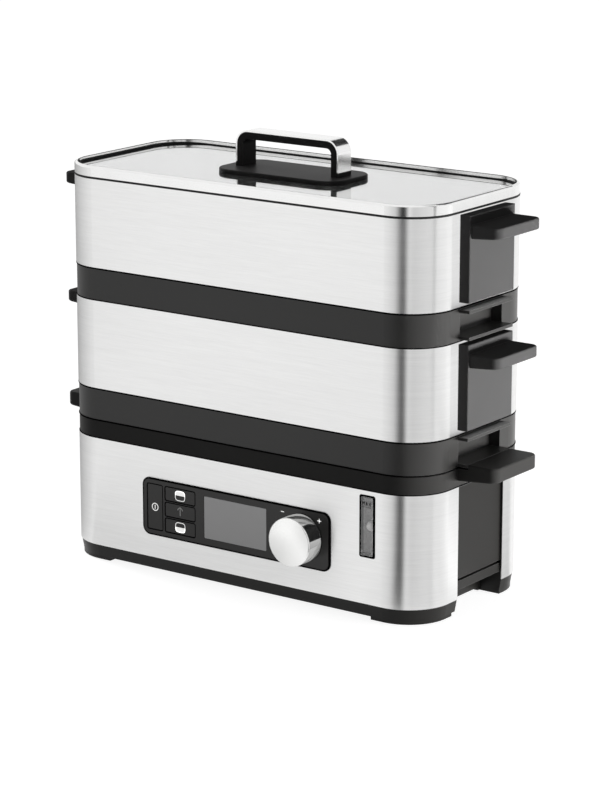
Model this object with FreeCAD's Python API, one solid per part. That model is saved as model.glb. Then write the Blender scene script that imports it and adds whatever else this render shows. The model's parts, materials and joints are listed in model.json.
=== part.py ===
import FreeCAD, Part
import os

# A two-tier electric food steamer: heated water base, drip tray, two steel baskets on dark rings
# and a glass lid. Millimetres, +Z up, +X to the right of the control panel, front towards -Y.
# Pieces are modelled about the middle of the body and moved at the end, so that the origin is
# under the middle of the whole object, knob included.

V = FreeCAD.Vector

# Lengths closer than this count as the same
SAME = 1e-4

# Body outline in plan, shared by the base, the drip tray, the baskets and the lid
BODY_LENGTH = 310.0
BODY_DEPTH = 138.0
CORNER_RADIUS = 32.0

# Walls
SHEET = 0.8
MOULDING = 2.5
RING_SETBACK = 0.4

# Heights, one on top of the other from the table up
PAD_REACH = 0.8
FOOT_HEIGHT = 3.0
CHASSIS_HEIGHT = 8.75
WRAP_HEIGHT = 79.25
DRIP_HEIGHT = 13.0
RING_HEIGHT = 23.0
SHELL_HEIGHT = 63.75
LID_HEIGHT = 8.2

# Clearances
SLIP = 0.2
LIFT_FIT = 0.6
KEY_GAP = 0.3
RUNNING = 0.05
FLOAT_GAP = 0.35

# Chassis
CHASSIS_DRAFT = 1.6
CHASSIS_FLOOR = 2.5
UPSTAND_HEIGHT = 8.5
UPSTAND_WALL = 2.0
FOOT_LENGTH = 42.0
FOOT_WIDTH = 40.0
PAD_RADIUS = 7.0
PAD_SEAT = 1.0
PAD_INSET = 20.0
NOTCH_DEPTH = 16.0
NOTCH_RISE = 14.0
RAIL_HEIGHT = 6.4

# End faces of the base, between the two steel wraps
END_FRONT = -25.0
END_REAR = 31.0
END_RECESS = 2.0
END_PANEL = 2.0
END_RIB = 4.0
END_GAP = 1.8
END_TONGUE = 16.0

# Water reservoir and what it stands on
BAY_DEPTH = 24.0
BASIN_END_GAP = 14.0
BASIN_REAR_GAP = 6.0
BASIN_RISE = 26.5
BASIN_WALL = 2.0
BASIN_RADIUS = 20.0
DECK = 1.6
LEG_RADIUS = 4.5
LEG_FOOT_GAP = 7.0
LEG_SIDE_INSET = 22.0
SCREW_RADIUS = 1.6
SCREW_HEAD_RADIUS = 3.2
SCREW_HEAD = 2.0
SCREW_BITE = 12.0

# Heater
HEATER_RADIUS = 42.0
HEATER_PLATE = 1.5
HEATER_SEAL = 1.5
HEATER_LAP = 8.0
CLAMP_THICKNESS = 2.0
ELEMENT_TUBE = 3.2
ELEMENT_RADIUS = 26.0
ELEMENT_OPENING = 50.0
THERMOSTAT_RADIUS = 8.0
THERMOSTAT_HEIGHT = 8.0

# Power board
POWER_LENGTH = 52.0
POWER_WIDTH = 60.0
BOARD = 1.6
POWER_STANDOFF = 6.0
POWER_LEG_GAP = 5.0
STANDOFF_RADIUS = 2.5
RELAY = (20.0, 16.0, 15.0)
CAPACITOR_RADIUS = 5.0
CAPACITOR_HEIGHT = 14.0

# Control panel
BEZEL_LENGTH = 161.4
BEZEL_HEIGHT = 41.7
BEZEL_RADIUS = 6.0
BEZEL_X = 0.6
BEZEL_RISE = 16.6
BEZEL_PROUD = 1.0
BEZEL_LAP = 1.5
BEZEL_WALL = 1.0
BEZEL_FRAME = 1.6
BEZEL_DEPTH = 5.0
DISPLAY_HEIGHT = 30.5
DISPLAY_KEY_GAP = 7.9
DISPLAY_KNOB_GAP = 12.5
DISPLAY_RADIUS = 1.0
MODULE_LAP = 1.2
BOARD_DEPTH = 14.0
BOARD_MARGIN = 4.0
POST_RADIUS = 2.0
POST_MARGIN = 6.0

# Keys: a tall one at the left and a column of three
KEY_FLUSH = 0.2
KEY_TRAVEL = 0.8
KEY_LIP = 0.5
KEY_LIP_THICKNESS = 1.2
KEY_STEM = 1.6
KEY_MARGIN = 4.4
KEY_RADIUS = 1.2
POWER_KEY_WIDTH = 13.4
COLUMN_GAP = 2.4
COLUMN_WIDTH = 26.3
COLUMN_SPACE = 1.5
TACT = 6.0
TACT_HEIGHT = 3.5
PLUNGER_RADIUS = 1.5
PLUNGER = 0.8

# Knob
KNOB_RADIUS = 17.0
KNOB_MARGIN = 6.7
KNOB_LENGTH = 14.0
KNOB_GAP = 0.6
KNOB_EDGE = 0.8
KNOB_BORE_DEPTH = 10.0
SHAFT_RADIUS = 3.0
SHAFT_HOLE_GAP = 0.6
ENCODER = 12.0
ENCODER_DEPTH = 7.0
BUSH_RADIUS = 4.5
BUSH_LENGTH = 4.0
SHAFT_SEAT = 8.0

# Water level window
WINDOW_END = 43.8
WINDOW_WIDTH = 12.4
WINDOW_HEIGHT = 43.2
WINDOW_RADIUS = 1.5
WINDOW_TOP_GAP = 3.3
WINDOW_PROUD = 0.2
WINDOW_LENS = 2.0
WINDOW_FLANGE = 1.5
WINDOW_DEPTH = 14.0
WINDOW_WALL = 2.5
WINDOW_CAP = 2.2
SPIGOT_PIPE_RADIUS = 3.2
SPIGOT_BORE_RADIUS = 1.8
SPIGOT_END = 5.0
FLOAT_HEIGHT = 0.48

# Cord gland at the rear
GLAND_END = 55.0
GLAND_RISE = 17.0
GLAND_RADIUS = 8.0
GLAND_FLANGE_RADIUS = 10.5
GLAND_FLANGE = 2.0
GLAND_BORE_RADIUS = 3.75
GLAND_INSIDE = 8.0

# Drip tray
DRIP_WALL = 1.8
DRIP_FLOOR = 2.0
DRIP_FLOOR_RISE = 1.5
DRIP_SKIRT = 6.0
CHIMNEY_LENGTH = 150.0
CHIMNEY_DEPTH = 44.0
CHIMNEY_RADIUS = 14.0
CHIMNEY_HEIGHT = 6.0

# Basket rings
RING_FLANGE = 2.0
SPIGOT_DEPTH = 5.0
SPIGOT_WALL = 2.0
LEDGE_WIDTH = 9.0
LEDGE_DROP = 1.0
RING_UPSTAND = 4.0
RECESS_DEPTH = 8.5
RECESS_HALF = 26.0
LIP_HALF = 27.0
RING_EDGE = 0.5
LIP_LOW_RISE = 1.4
LIP_HIGH_DROP = 1.4
LIP_THICKNESS = 2.1

# Steaming trays
TRAY_GAP = 1.0
TRAY_EDGE_HEIGHT = 6.0
TRAY_EDGE = 1.2
TRAY_HOLE_RADIUS = 2.5
TRAY_PITCH = 13.0
TRAY_MARGIN = 12.0

# Basket handles
PLATE_HALF = 27.7
PLATE_THICKNESS = 7.75
PLATE_FOOT = 3.6
PLATE_HEAD = 1.6
PLATE_EDGE = 0.8
SHELF_HALF = 26.2
SHELF_REACH = 30.0
SHELF_THICKNESS = 10.0
SHELF_DROP = 6.4
SHELF_CORNER = 6.0
SHELF_TAPER = 2.4
SHELF_EDGE = 1.2
HANDLE_SCREW_SPREAD = 20.0

# Drip tray handles
DRIP_GRIP_HALF = 27.0
DRIP_GRIP_FOOT = 4.2
DRIP_GRIP_TAPER = 2.4
DRIP_GRIP_EDGE = 1.4

# Shell hem
HEM_THICKNESS = 1.6
HEM_HEIGHT = 4.0

# Lid
RIM_BAND = 2.4
RIM_ROLL = 1.6
RIM_INNER_EDGE = 0.4
RIM_SHELF = 1.2
RIM_SHELF_WIDTH = 10.0
RIM_LIP = 1.4
RIM_LIP_DEPTH = 4.0
GASKET = 0.8
GLASS = 3.0
GLASS_EDGE = 0.6

# Lid handle
GRIP_PLATE_LENGTH = 105.0
GRIP_PLATE_DEPTH = 50.0
GRIP_PLATE_RADIUS = 15.0
GRIP_PLATE = 3.2
GRIP_PLATE_EDGE = 1.2
GRIP_LENGTH = 86.8
GRIP_WIDTH = 15.2
GRIP_HEIGHT = 25.4
GRIP_THICKNESS = 6.1
GRIP_CORNER = 10.0
GRIP_FOOT = 3.0
STRAP = 1.2
LID_SCREW_RADIUS = 2.0
LID_SCREW_HEAD_RADIUS = 4.0
LID_SCREW_HEAD = 2.4
LID_SCREW_BITE = 10.0
GLASS_HOLE_GAP = 0.4

# Derived places
HALF_LENGTH = BODY_LENGTH / 2
HALF_DEPTH = BODY_DEPTH / 2
FRONT = -HALF_DEPTH
REAR = HALF_DEPTH
CHASSIS_Z = FOOT_HEIGHT
WRAP_Z = CHASSIS_Z + CHASSIS_HEIGHT
DRIP_Z = WRAP_Z + WRAP_HEIGHT
LOWER_Z = DRIP_Z + DRIP_HEIGHT
UPPER_Z = LOWER_Z + RING_HEIGHT + SHELL_HEIGHT
LID_Z = UPPER_Z + RING_HEIGHT + SHELL_HEIGHT
FLOOR_TOP = CHASSIS_Z + CHASSIS_FLOOR
SHEET_INSIDE = SHEET + SLIP
END_FACE = HALF_LENGTH - END_RECESS
RAIL_Z = CHASSIS_Z + NOTCH_RISE
RAIL_TOP = RAIL_Z + RAIL_HEIGHT
DECK_Z = DRIP_Z - DECK
BASIN_Z = WRAP_Z + BASIN_RISE
BASIN_FLOOR_TOP = BASIN_Z + BASIN_WALL
BASIN_LENGTH = BODY_LENGTH - 2 * BASIN_END_GAP
BASIN_FRONT = FRONT + BAY_DEPTH
BASIN_REAR = REAR - BASIN_REAR_GAP
BASIN_DEPTH = BASIN_REAR - BASIN_FRONT
BASIN_Y = (BASIN_REAR + BASIN_FRONT) / 2
LEG_X = HALF_LENGTH - FOOT_LENGTH - LEG_FOOT_GAP
GLAND_X = GLAND_END - HALF_LENGTH
BEZEL_Z = WRAP_Z + BEZEL_RISE + BEZEL_HEIGHT / 2
BEZEL_FACE = FRONT - BEZEL_PROUD
BOARD_FACE = FRONT + BOARD_DEPTH
KEYS_LEFT = BEZEL_X - BEZEL_LENGTH / 2 + KEY_MARGIN
COLUMN_LEFT = KEYS_LEFT + POWER_KEY_WIDTH + COLUMN_GAP
KNOB_X = BEZEL_X + BEZEL_LENGTH / 2 - KNOB_MARGIN - KNOB_RADIUS
DISPLAY_LEFT = COLUMN_LEFT + COLUMN_WIDTH + DISPLAY_KEY_GAP
DISPLAY_RIGHT = KNOB_X - KNOB_RADIUS - DISPLAY_KNOB_GAP
DISPLAY_LENGTH = DISPLAY_RIGHT - DISPLAY_LEFT
DISPLAY_X = (DISPLAY_LEFT + DISPLAY_RIGHT) / 2
KNOB_BACK = BEZEL_FACE - KNOB_GAP
KNOB_FACE = KNOB_BACK - KNOB_LENGTH
WINDOW_X = HALF_LENGTH - WINDOW_END
WINDOW_Z = DRIP_Z - WINDOW_TOP_GAP - WINDOW_HEIGHT / 2
LID_GLASS_Z = LID_Z + RIM_SHELF + GASKET
GRIP_PLATE_Z = LID_GLASS_Z + GLASS
GRIP_Z = GRIP_PLATE_Z + GRIP_PLATE
SPIGOT_INSET = RING_SETBACK + DRIP_WALL + LIFT_FIT
PLATE_FACE = HALF_LENGTH + PLATE_THICKNESS
BODY_SHIFT = (-KNOB_FACE - REAR - GLAND_FLANGE) / 2


def rounded_wire(length, depth, radius, centre_y, z):
    """A rectangle in plan with round corners, as lines and arcs."""
    hx = length / 2
    hy = depth / 2
    bend = radius * (1 - 0.5 ** 0.5)
    corners = []
    for sx, sy in ((1, -1), (1, 1), (-1, 1), (-1, -1)):
        along = V(sx * hx, centre_y + sy * (hy - radius), z)
        across = V(sx * (hx - radius), centre_y + sy * hy, z)
        middle = V(sx * (hx - bend), centre_y + sy * (hy - bend), z)
        start, end = (across, along) if sx * sy < 0 else (along, across)
        corners.append((start, middle, end))
    edges = []
    for index, (start, middle, end) in enumerate(corners):
        edges.append(Part.Arc(start, middle, end).toShape())
        edges.append(Part.LineSegment(end, corners[(index + 1) % 4][0]).toShape())
    return Part.Wire(edges)


def rounded_slab(length, depth, radius, z0, z1, centre_y=0.0):
    wire = rounded_wire(length, depth, radius, centre_y, z0)
    return Part.Face(wire).extrude(V(0, 0, z1 - z0))


def body_slab(inset, z0, z1):
    """The body's outline, drawn in by inset, from z0 to z1."""
    return rounded_slab(BODY_LENGTH - 2 * inset, BODY_DEPTH - 2 * inset, CORNER_RADIUS - inset, z0, z1)


def body_wall(inset, wall, z0, z1):
    return body_slab(inset, z0, z1).cut(body_slab(inset + wall, z0, z1))


def block(x0, x1, y0, y1, z0, z1):
    return Part.makeBox(x1 - x0, y1 - y0, z1 - z0, V(x0, y0, z0))


def upright(x, z, width, height, radius, y0, y1):
    """A rounded rectangle standing in the XZ plane, from y0 back to y1."""
    plate = rounded_slab(width, height, radius, 0, y1 - y0)
    plate.rotate(V(0, 0, 0), V(1, 0, 0), 90)
    plate.translate(V(x, y1, z))
    return plate


def rod_y(x, z, radius, y0, y1):
    return Part.makeCylinder(radius, y1 - y0, V(x, y0, z), V(0, 1, 0))


def rod_z(x, y, radius, z0, z1):
    return Part.makeCylinder(radius, z1 - z0, V(x, y, z0))


def rod_x(y, z, radius, x0, x1):
    return Part.makeCylinder(radius, x1 - x0, V(x0, y, z), V(1, 0, 0))


def mirrored(shape):
    return shape.mirror(V(0, 0, 0), V(1, 0, 0))


def both_ends(shape):
    return [shape, mirrored(shape)]


def four_corners(x, y, centre_y=0.0):
    return [(sx * x, centre_y + sy * y) for sx in (-1, 1) for sy in (-1, 1)]


def level_edges(shape, z):
    """Edges that lie flat at height z."""
    found = []
    for edge in shape.Edges:
        box = edge.BoundBox
        if abs(box.ZMin - z) < SAME and abs(box.ZMax - z) < SAME:
            found.append(edge)
    return found


# Base

def leg_places():
    return four_corners(LEG_X, BASIN_DEPTH / 2 - LEG_SIDE_INSET, BASIN_Y)


def pad_places():
    return four_corners(HALF_LENGTH - PAD_INSET, HALF_DEPTH - PAD_INSET)


def power_board_middle():
    return -LEG_X + LEG_RADIUS + POWER_LEG_GAP + POWER_LENGTH / 2, BASIN_Y


def standoff_places():
    x, y = power_board_middle()
    reach = 2 * STANDOFF_RADIUS
    corners = four_corners(POWER_LENGTH / 2 - reach, POWER_WIDTH / 2 - reach, y)
    return [(x + dx, cy) for dx, cy in corners]


def base_chassis():
    """A drafted tray with an upstand inside the steel, corner feet and a raised arch at each end."""
    low = rounded_wire(
        BODY_LENGTH - 2 * CHASSIS_DRAFT - 2 * RING_SETBACK,
        BODY_DEPTH - 2 * CHASSIS_DRAFT - 2 * RING_SETBACK,
        CORNER_RADIUS - CHASSIS_DRAFT - RING_SETBACK,
        0.0,
        CHASSIS_Z,
    )
    high = rounded_wire(
        BODY_LENGTH - 2 * RING_SETBACK,
        BODY_DEPTH - 2 * RING_SETBACK,
        CORNER_RADIUS - RING_SETBACK,
        0.0,
        WRAP_Z,
    )
    tray = Part.makeLoft([low, high], True, True)
    tray = tray.fuse(body_slab(SHEET_INSIDE, WRAP_Z, WRAP_Z + UPSTAND_HEIGHT))
    inside = SHEET_INSIDE + UPSTAND_WALL
    tray = tray.cut(body_slab(inside, FLOOR_TOP, WRAP_Z + UPSTAND_HEIGHT))
    foot_inset = CHASSIS_DRAFT + RING_SETBACK
    feet = body_slab(foot_inset, PAD_REACH, CHASSIS_Z)
    feet = feet.cut(block(
        FOOT_LENGTH - HALF_LENGTH, HALF_LENGTH - FOOT_LENGTH, -HALF_DEPTH, HALF_DEPTH, 0, CHASSIS_Z))
    feet = feet.cut(block(
        -HALF_LENGTH, HALF_LENGTH, FOOT_WIDTH - HALF_DEPTH, HALF_DEPTH - FOOT_WIDTH, 0, CHASSIS_Z))
    tray = tray.fuse(feet)
    inner = END_FACE - NOTCH_DEPTH
    notch = block(inner, HALF_LENGTH, END_FRONT, END_REAR, 0, WRAP_Z + UPSTAND_HEIGHT)
    arch = block(inner - MOULDING, inner, END_FRONT, END_REAR, CHASSIS_Z, RAIL_Z + MOULDING)
    arch = arch.fuse(block(inner, END_FACE, END_FRONT, END_REAR, RAIL_Z, RAIL_Z + MOULDING))
    arch = arch.fuse(block(END_FACE - MOULDING, END_FACE, END_FRONT, END_REAR, RAIL_Z, RAIL_TOP))
    for y in (END_FRONT - MOULDING, END_REAR):
        arch = arch.fuse(block(
            inner - MOULDING, HALF_LENGTH - inside, y, y + MOULDING, CHASSIS_Z, RAIL_Z + MOULDING))
    for end_notch, end_arch in zip(both_ends(notch), both_ends(arch)):
        tray = tray.cut(end_notch).fuse(end_arch)
    for x, y in leg_places():
        tray = tray.cut(rod_z(x, y, SCREW_RADIUS, CHASSIS_Z, FLOOR_TOP))
    for x, y in pad_places():
        tray = tray.cut(rod_z(x, y, PAD_RADIUS, PAD_REACH, PAD_REACH + PAD_SEAT))
    for x, y in standoff_places():
        tray = tray.fuse(rod_z(x, y, STANDOFF_RADIUS, FLOOR_TOP, FLOOR_TOP + POWER_STANDOFF))
    return tray.removeSplitter()


def rubber_feet():
    return [rod_z(x, y, PAD_RADIUS, 0, PAD_REACH + PAD_SEAT) for x, y in pad_places()]


def chassis_screws():
    """Pan heads under the chassis floor, shanks up into the reservoir's legs."""
    screws = []
    for x, y in leg_places():
        head = rod_z(x, y, SCREW_HEAD_RADIUS, CHASSIS_Z - SCREW_HEAD, CHASSIS_Z)
        shank = rod_z(x, y, SCREW_RADIUS, CHASSIS_Z, FLOOR_TOP + SCREW_BITE)
        screws.append(head.fuse(shank).removeSplitter())
    return screws


def steel_wrap(y0, y1):
    """One half of the steel band round the base."""
    band = body_wall(0, SHEET, WRAP_Z, DRIP_Z)
    return band.common(block(-HALF_LENGTH, HALF_LENGTH, y0, y1, WRAP_Z, DRIP_Z))


def front_wrap():
    wrap = steel_wrap(FRONT, END_FRONT)
    opening = upright(
        BEZEL_X, BEZEL_Z, BEZEL_LENGTH - 2 * BEZEL_LAP, BEZEL_HEIGHT - 2 * BEZEL_LAP,
        BEZEL_RADIUS - BEZEL_LAP, FRONT, FRONT + SHEET)
    slot = upright(
        WINDOW_X, WINDOW_Z, WINDOW_WIDTH, WINDOW_HEIGHT, WINDOW_RADIUS, FRONT, FRONT + SHEET)
    return wrap.cut(opening).cut(slot)


def rear_wrap():
    wrap = steel_wrap(END_REAR, REAR)
    return wrap.cut(rod_y(GLAND_X, WRAP_Z + GLAND_RISE, GLAND_RADIUS, REAR - SHEET, REAR))


def end_panel():
    """The recessed panel at the right end, with ribs behind the steel and a tongue behind the rail."""
    z0 = RAIL_TOP + END_GAP
    panel = block(
        END_FACE - END_PANEL, END_FACE, END_FRONT - END_RIB, END_REAR + END_RIB, z0, DECK_Z)
    for y in (END_FRONT - END_RIB, END_REAR + SLIP):
        panel = panel.fuse(block(END_FACE, HALF_LENGTH - SHEET, y, y + END_RIB - SLIP, z0, DECK_Z))
    back = END_FACE - MOULDING - SLIP
    low = RAIL_Z + MOULDING + SLIP
    tongue = block(
        back - END_PANEL, back, END_FRONT + SLIP, END_REAR - SLIP, low, low + END_TONGUE)
    web = block(
        back - END_PANEL, END_FACE, END_FRONT + SLIP, END_REAR - SLIP, z0, z0 + END_PANEL)
    return panel.fuse(tongue).fuse(web).removeSplitter()


def basin_slab(inset, z0, z1):
    return rounded_slab(
        BASIN_LENGTH - 2 * inset, BASIN_DEPTH - 2 * inset, BASIN_RADIUS - inset, z0, z1, BASIN_Y)


def water_reservoir():
    """A basin under a deck that fills the top of the base, standing on four legs."""
    tub = body_slab(SHEET_INSIDE, DECK_Z, DRIP_Z).fuse(basin_slab(0, BASIN_Z, DECK_Z))
    tub = tub.cut(basin_slab(BASIN_WALL, BASIN_FLOOR_TOP, DRIP_Z))
    tub = tub.cut(rod_z(0, BASIN_Y, HEATER_RADIUS - HEATER_LAP, BASIN_Z, BASIN_FLOOR_TOP))
    for notch in both_ends(block(END_FACE, HALF_LENGTH, END_FRONT, END_REAR, DECK_Z, DRIP_Z)):
        tub = tub.cut(notch)
    for x, y in leg_places():
        tub = tub.fuse(rod_z(x, y, LEG_RADIUS, FLOOR_TOP, BASIN_Z))
        tub = tub.cut(rod_z(x, y, SCREW_RADIUS, FLOOR_TOP, FLOOR_TOP + SCREW_BITE))
    for z in pipe_heights():
        tub = tub.cut(rod_y(WINDOW_X, z, SPIGOT_PIPE_RADIUS, BASIN_FRONT, BASIN_FRONT + BASIN_WALL))
    return tub.removeSplitter()


def heating_plate():
    z0 = BASIN_FLOOR_TOP + HEATER_SEAL
    return rod_z(0, BASIN_Y, HEATER_RADIUS, z0, z0 + HEATER_PLATE)


def heater_seal():
    ring = rod_z(0, BASIN_Y, HEATER_RADIUS, BASIN_FLOOR_TOP, BASIN_FLOOR_TOP + HEATER_SEAL)
    hole = rod_z(
        0, BASIN_Y, HEATER_RADIUS - HEATER_LAP, BASIN_FLOOR_TOP, BASIN_FLOOR_TOP + HEATER_SEAL)
    return ring.cut(hole)


def heater_clamp():
    """A ring under the basin floor that pulls the plate down on its seal."""
    ring = rod_z(0, BASIN_Y, HEATER_RADIUS, BASIN_Z - CLAMP_THICKNESS, BASIN_Z)
    hole = rod_z(0, BASIN_Y, HEATER_RADIUS - HEATER_LAP, BASIN_Z - CLAMP_THICKNESS, BASIN_Z)
    return ring.cut(hole)


def heating_element():
    """A tube bent to an open ring under the heating plate."""
    z = BASIN_FLOOR_TOP + HEATER_SEAL - ELEMENT_TUBE
    ring = Part.makeTorus(
        ELEMENT_RADIUS, ELEMENT_TUBE, V(0, BASIN_Y, z), V(0, 0, 1), -180, 180, 360 - ELEMENT_OPENING)
    ring.rotate(V(0, BASIN_Y, z), V(0, 0, 1), ELEMENT_OPENING / 2 - 90)
    return ring


def thermostat():
    top = BASIN_FLOOR_TOP + HEATER_SEAL
    return rod_z(0, BASIN_Y, THERMOSTAT_RADIUS, top - THERMOSTAT_HEIGHT, top)


def power_board():
    """A board on standoffs with a relay and a capacitor standing on it."""
    x, y = power_board_middle()
    z0 = FLOOR_TOP + POWER_STANDOFF
    top = z0 + BOARD
    board = block(
        x - POWER_LENGTH / 2, x + POWER_LENGTH / 2, y - POWER_WIDTH / 2, y + POWER_WIDTH / 2, z0, top)
    length, width, height = RELAY
    relay = block(x - length / 2, x + length / 2, y - width, y, top, top + height)
    capacitor = rod_z(x, y + width, CAPACITOR_RADIUS, top, top + CAPACITOR_HEIGHT)
    return [board, relay, capacitor]


def cord_gland():
    z = WRAP_Z + GLAND_RISE
    gland = rod_y(GLAND_X, z, GLAND_RADIUS, REAR - GLAND_INSIDE, REAR)
    gland = gland.fuse(rod_y(GLAND_X, z, GLAND_FLANGE_RADIUS, REAR, REAR + GLAND_FLANGE))
    gland = gland.cut(rod_y(GLAND_X, z, GLAND_BORE_RADIUS, REAR - GLAND_INSIDE, REAR + GLAND_FLANGE))
    return gland.removeSplitter()


# Control panel

def key_outlines():
    """Openings of the four keys: name to middle x, middle z, width and height."""
    height = BEZEL_HEIGHT - 2 * KEY_MARGIN
    column_x = COLUMN_LEFT + COLUMN_WIDTH / 2
    step = (height + COLUMN_SPACE) / 3
    keys = {"power_button": (KEYS_LEFT + POWER_KEY_WIDTH / 2, BEZEL_Z, POWER_KEY_WIDTH, height)}
    for row, name in enumerate(("lower_basket_button", "start_button", "upper_basket_button")):
        keys[name] = (column_x, BEZEL_Z + (row - 1) * step, COLUMN_WIDTH, step - COLUMN_SPACE)
    return keys


def post_places():
    """Posts behind the bezel: beside the keys, between display and knob, and at the right."""
    across = (
        DISPLAY_LEFT - DISPLAY_KEY_GAP / 2,
        (DISPLAY_RIGHT + KNOB_X - ENCODER / 2) / 2,
        BEZEL_X + BEZEL_LENGTH / 2 - BEZEL_LAP - POST_MARGIN,
    )
    rise = BEZEL_HEIGHT / 2 - BEZEL_LAP - POST_MARGIN
    return [(x, BEZEL_Z + side * rise) for x in across for side in (-1, 1)]


def control_bezel():
    """A face plate on the steel with a shallow frame behind it and posts for the board."""
    plug_length = BEZEL_LENGTH - 2 * BEZEL_LAP - 2 * SLIP
    plug_height = BEZEL_HEIGHT - 2 * BEZEL_LAP - 2 * SLIP
    plug_radius = BEZEL_RADIUS - BEZEL_LAP - SLIP
    back = FRONT + BEZEL_WALL
    plate = upright(BEZEL_X, BEZEL_Z, BEZEL_LENGTH, BEZEL_HEIGHT, BEZEL_RADIUS, BEZEL_FACE, FRONT)
    edges = [edge for edge in plate.Edges if abs(edge.BoundBox.YMax - BEZEL_FACE) < SAME]
    plate = plate.makeFillet(BEZEL_PROUD / 2, edges)
    plug = upright(
        BEZEL_X, BEZEL_Z, plug_length, plug_height, plug_radius, FRONT, FRONT + BEZEL_DEPTH)
    hollow = upright(
        BEZEL_X, BEZEL_Z, plug_length - 2 * BEZEL_FRAME, plug_height - 2 * BEZEL_FRAME,
        plug_radius - BEZEL_FRAME, back, FRONT + BEZEL_DEPTH)
    bezel = plate.fuse(plug.cut(hollow))
    for x, z in post_places():
        bezel = bezel.fuse(rod_y(x, z, POST_RADIUS, back, BOARD_FACE))
    for x, z, width, height in key_outlines().values():
        bezel = bezel.cut(upright(x, z, width, height, KEY_RADIUS, BEZEL_FACE, back))
    bezel = bezel.cut(upright(
        DISPLAY_X, BEZEL_Z, DISPLAY_LENGTH, DISPLAY_HEIGHT, DISPLAY_RADIUS, BEZEL_FACE, back))
    bezel = bezel.cut(rod_y(KNOB_X, BEZEL_Z, SHAFT_RADIUS + SHAFT_HOLE_GAP, BEZEL_FACE, back))
    return bezel.removeSplitter()


def display_window():
    return upright(
        DISPLAY_X, BEZEL_Z, DISPLAY_LENGTH - 2 * SLIP, DISPLAY_HEIGHT - 2 * SLIP,
        DISPLAY_RADIUS - SLIP, BEZEL_FACE + KEY_FLUSH, FRONT + BEZEL_WALL)


def display_module():
    """The panel behind the window, held between the window and the board."""
    x = DISPLAY_LENGTH / 2 + MODULE_LAP
    z = DISPLAY_HEIGHT / 2 + MODULE_LAP
    return block(
        DISPLAY_X - x, DISPLAY_X + x, FRONT + BEZEL_WALL, BOARD_FACE, BEZEL_Z - z, BEZEL_Z + z)


def control_board():
    x = BEZEL_LENGTH / 2 - BOARD_MARGIN
    z = BEZEL_HEIGHT / 2 - BOARD_MARGIN
    return block(
        BEZEL_X - x, BEZEL_X + x, BOARD_FACE, BOARD_FACE + BOARD, BEZEL_Z - z, BEZEL_Z + z)


def push_key(name):
    """A cap in its opening, a lip behind the bezel and a stem towards its switch."""
    x, z, width, height = key_outlines()[name]
    back = FRONT + BEZEL_WALL
    lip_back = back + SLIP + KEY_LIP_THICKNESS
    cap = upright(
        x, z, width - 2 * KEY_GAP, height - 2 * KEY_GAP, KEY_RADIUS - KEY_GAP,
        BEZEL_FACE + KEY_FLUSH, back + SLIP)
    lip = upright(
        x, z, width + 2 * KEY_LIP, height + 2 * KEY_LIP, KEY_RADIUS + KEY_LIP, back + SLIP, lip_back)
    stem_end = BOARD_FACE - TACT_HEIGHT - PLUNGER - KEY_TRAVEL - SLIP
    stem = rod_y(x, z, KEY_STEM, lip_back, stem_end)
    return cap.fuse(lip).fuse(stem).removeSplitter()


def key_switches():
    """A small square switch with a round plunger behind each key."""
    switches = []
    for x, z, _, _ in key_outlines().values():
        half = TACT / 2
        body = block(x - half, x + half, BOARD_FACE - TACT_HEIGHT, BOARD_FACE, z - half, z + half)
        tip = BOARD_FACE - TACT_HEIGHT - PLUNGER
        plunger = rod_y(x, z, PLUNGER_RADIUS, tip, BOARD_FACE - TACT_HEIGHT)
        switches.append(body.fuse(plunger).removeSplitter())
    return switches


def encoder_body():
    half = ENCODER / 2
    face = BOARD_FACE - ENCODER_DEPTH
    body = block(KNOB_X - half, KNOB_X + half, face, BOARD_FACE, BEZEL_Z - half, BEZEL_Z + half)
    body = body.fuse(rod_y(KNOB_X, BEZEL_Z, BUSH_RADIUS, face - BUSH_LENGTH, face))
    bore_end = face - BUSH_LENGTH + SHAFT_SEAT + RUNNING
    bore = rod_y(KNOB_X, BEZEL_Z, SHAFT_RADIUS + RUNNING, face - BUSH_LENGTH, bore_end)
    return body.cut(bore).removeSplitter()


def encoder_shaft():
    seat = BOARD_FACE - ENCODER_DEPTH - BUSH_LENGTH + SHAFT_SEAT
    return rod_y(KNOB_X, BEZEL_Z, SHAFT_RADIUS, KNOB_BACK - KNOB_BORE_DEPTH, seat)


def selector_knob():
    knob = rod_y(KNOB_X, BEZEL_Z, KNOB_RADIUS, KNOB_FACE, KNOB_BACK)
    rims = [edge for edge in knob.Edges if abs(edge.BoundBox.YMax - KNOB_FACE) < SAME]
    knob = knob.makeFillet(KNOB_EDGE, rims)
    return knob.cut(rod_y(KNOB_X, BEZEL_Z, SHAFT_RADIUS, KNOB_BACK - KNOB_BORE_DEPTH, KNOB_BACK))


# Water level window

def pipe_heights():
    reach = WINDOW_HEIGHT / 2 - SPIGOT_END
    return WINDOW_Z - reach, WINDOW_Z + reach


def float_chamber():
    """Low and high corners of the space the float moves in."""
    half = WINDOW_WIDTH / 2 - WINDOW_WALL
    front = FRONT + WINDOW_LENS
    reach = WINDOW_HEIGHT / 2 - WINDOW_CAP
    low = V(WINDOW_X - half, front, WINDOW_Z - reach)
    high = V(WINDOW_X + half, front + 2 * half, WINDOW_Z + reach)
    return low, high


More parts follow.
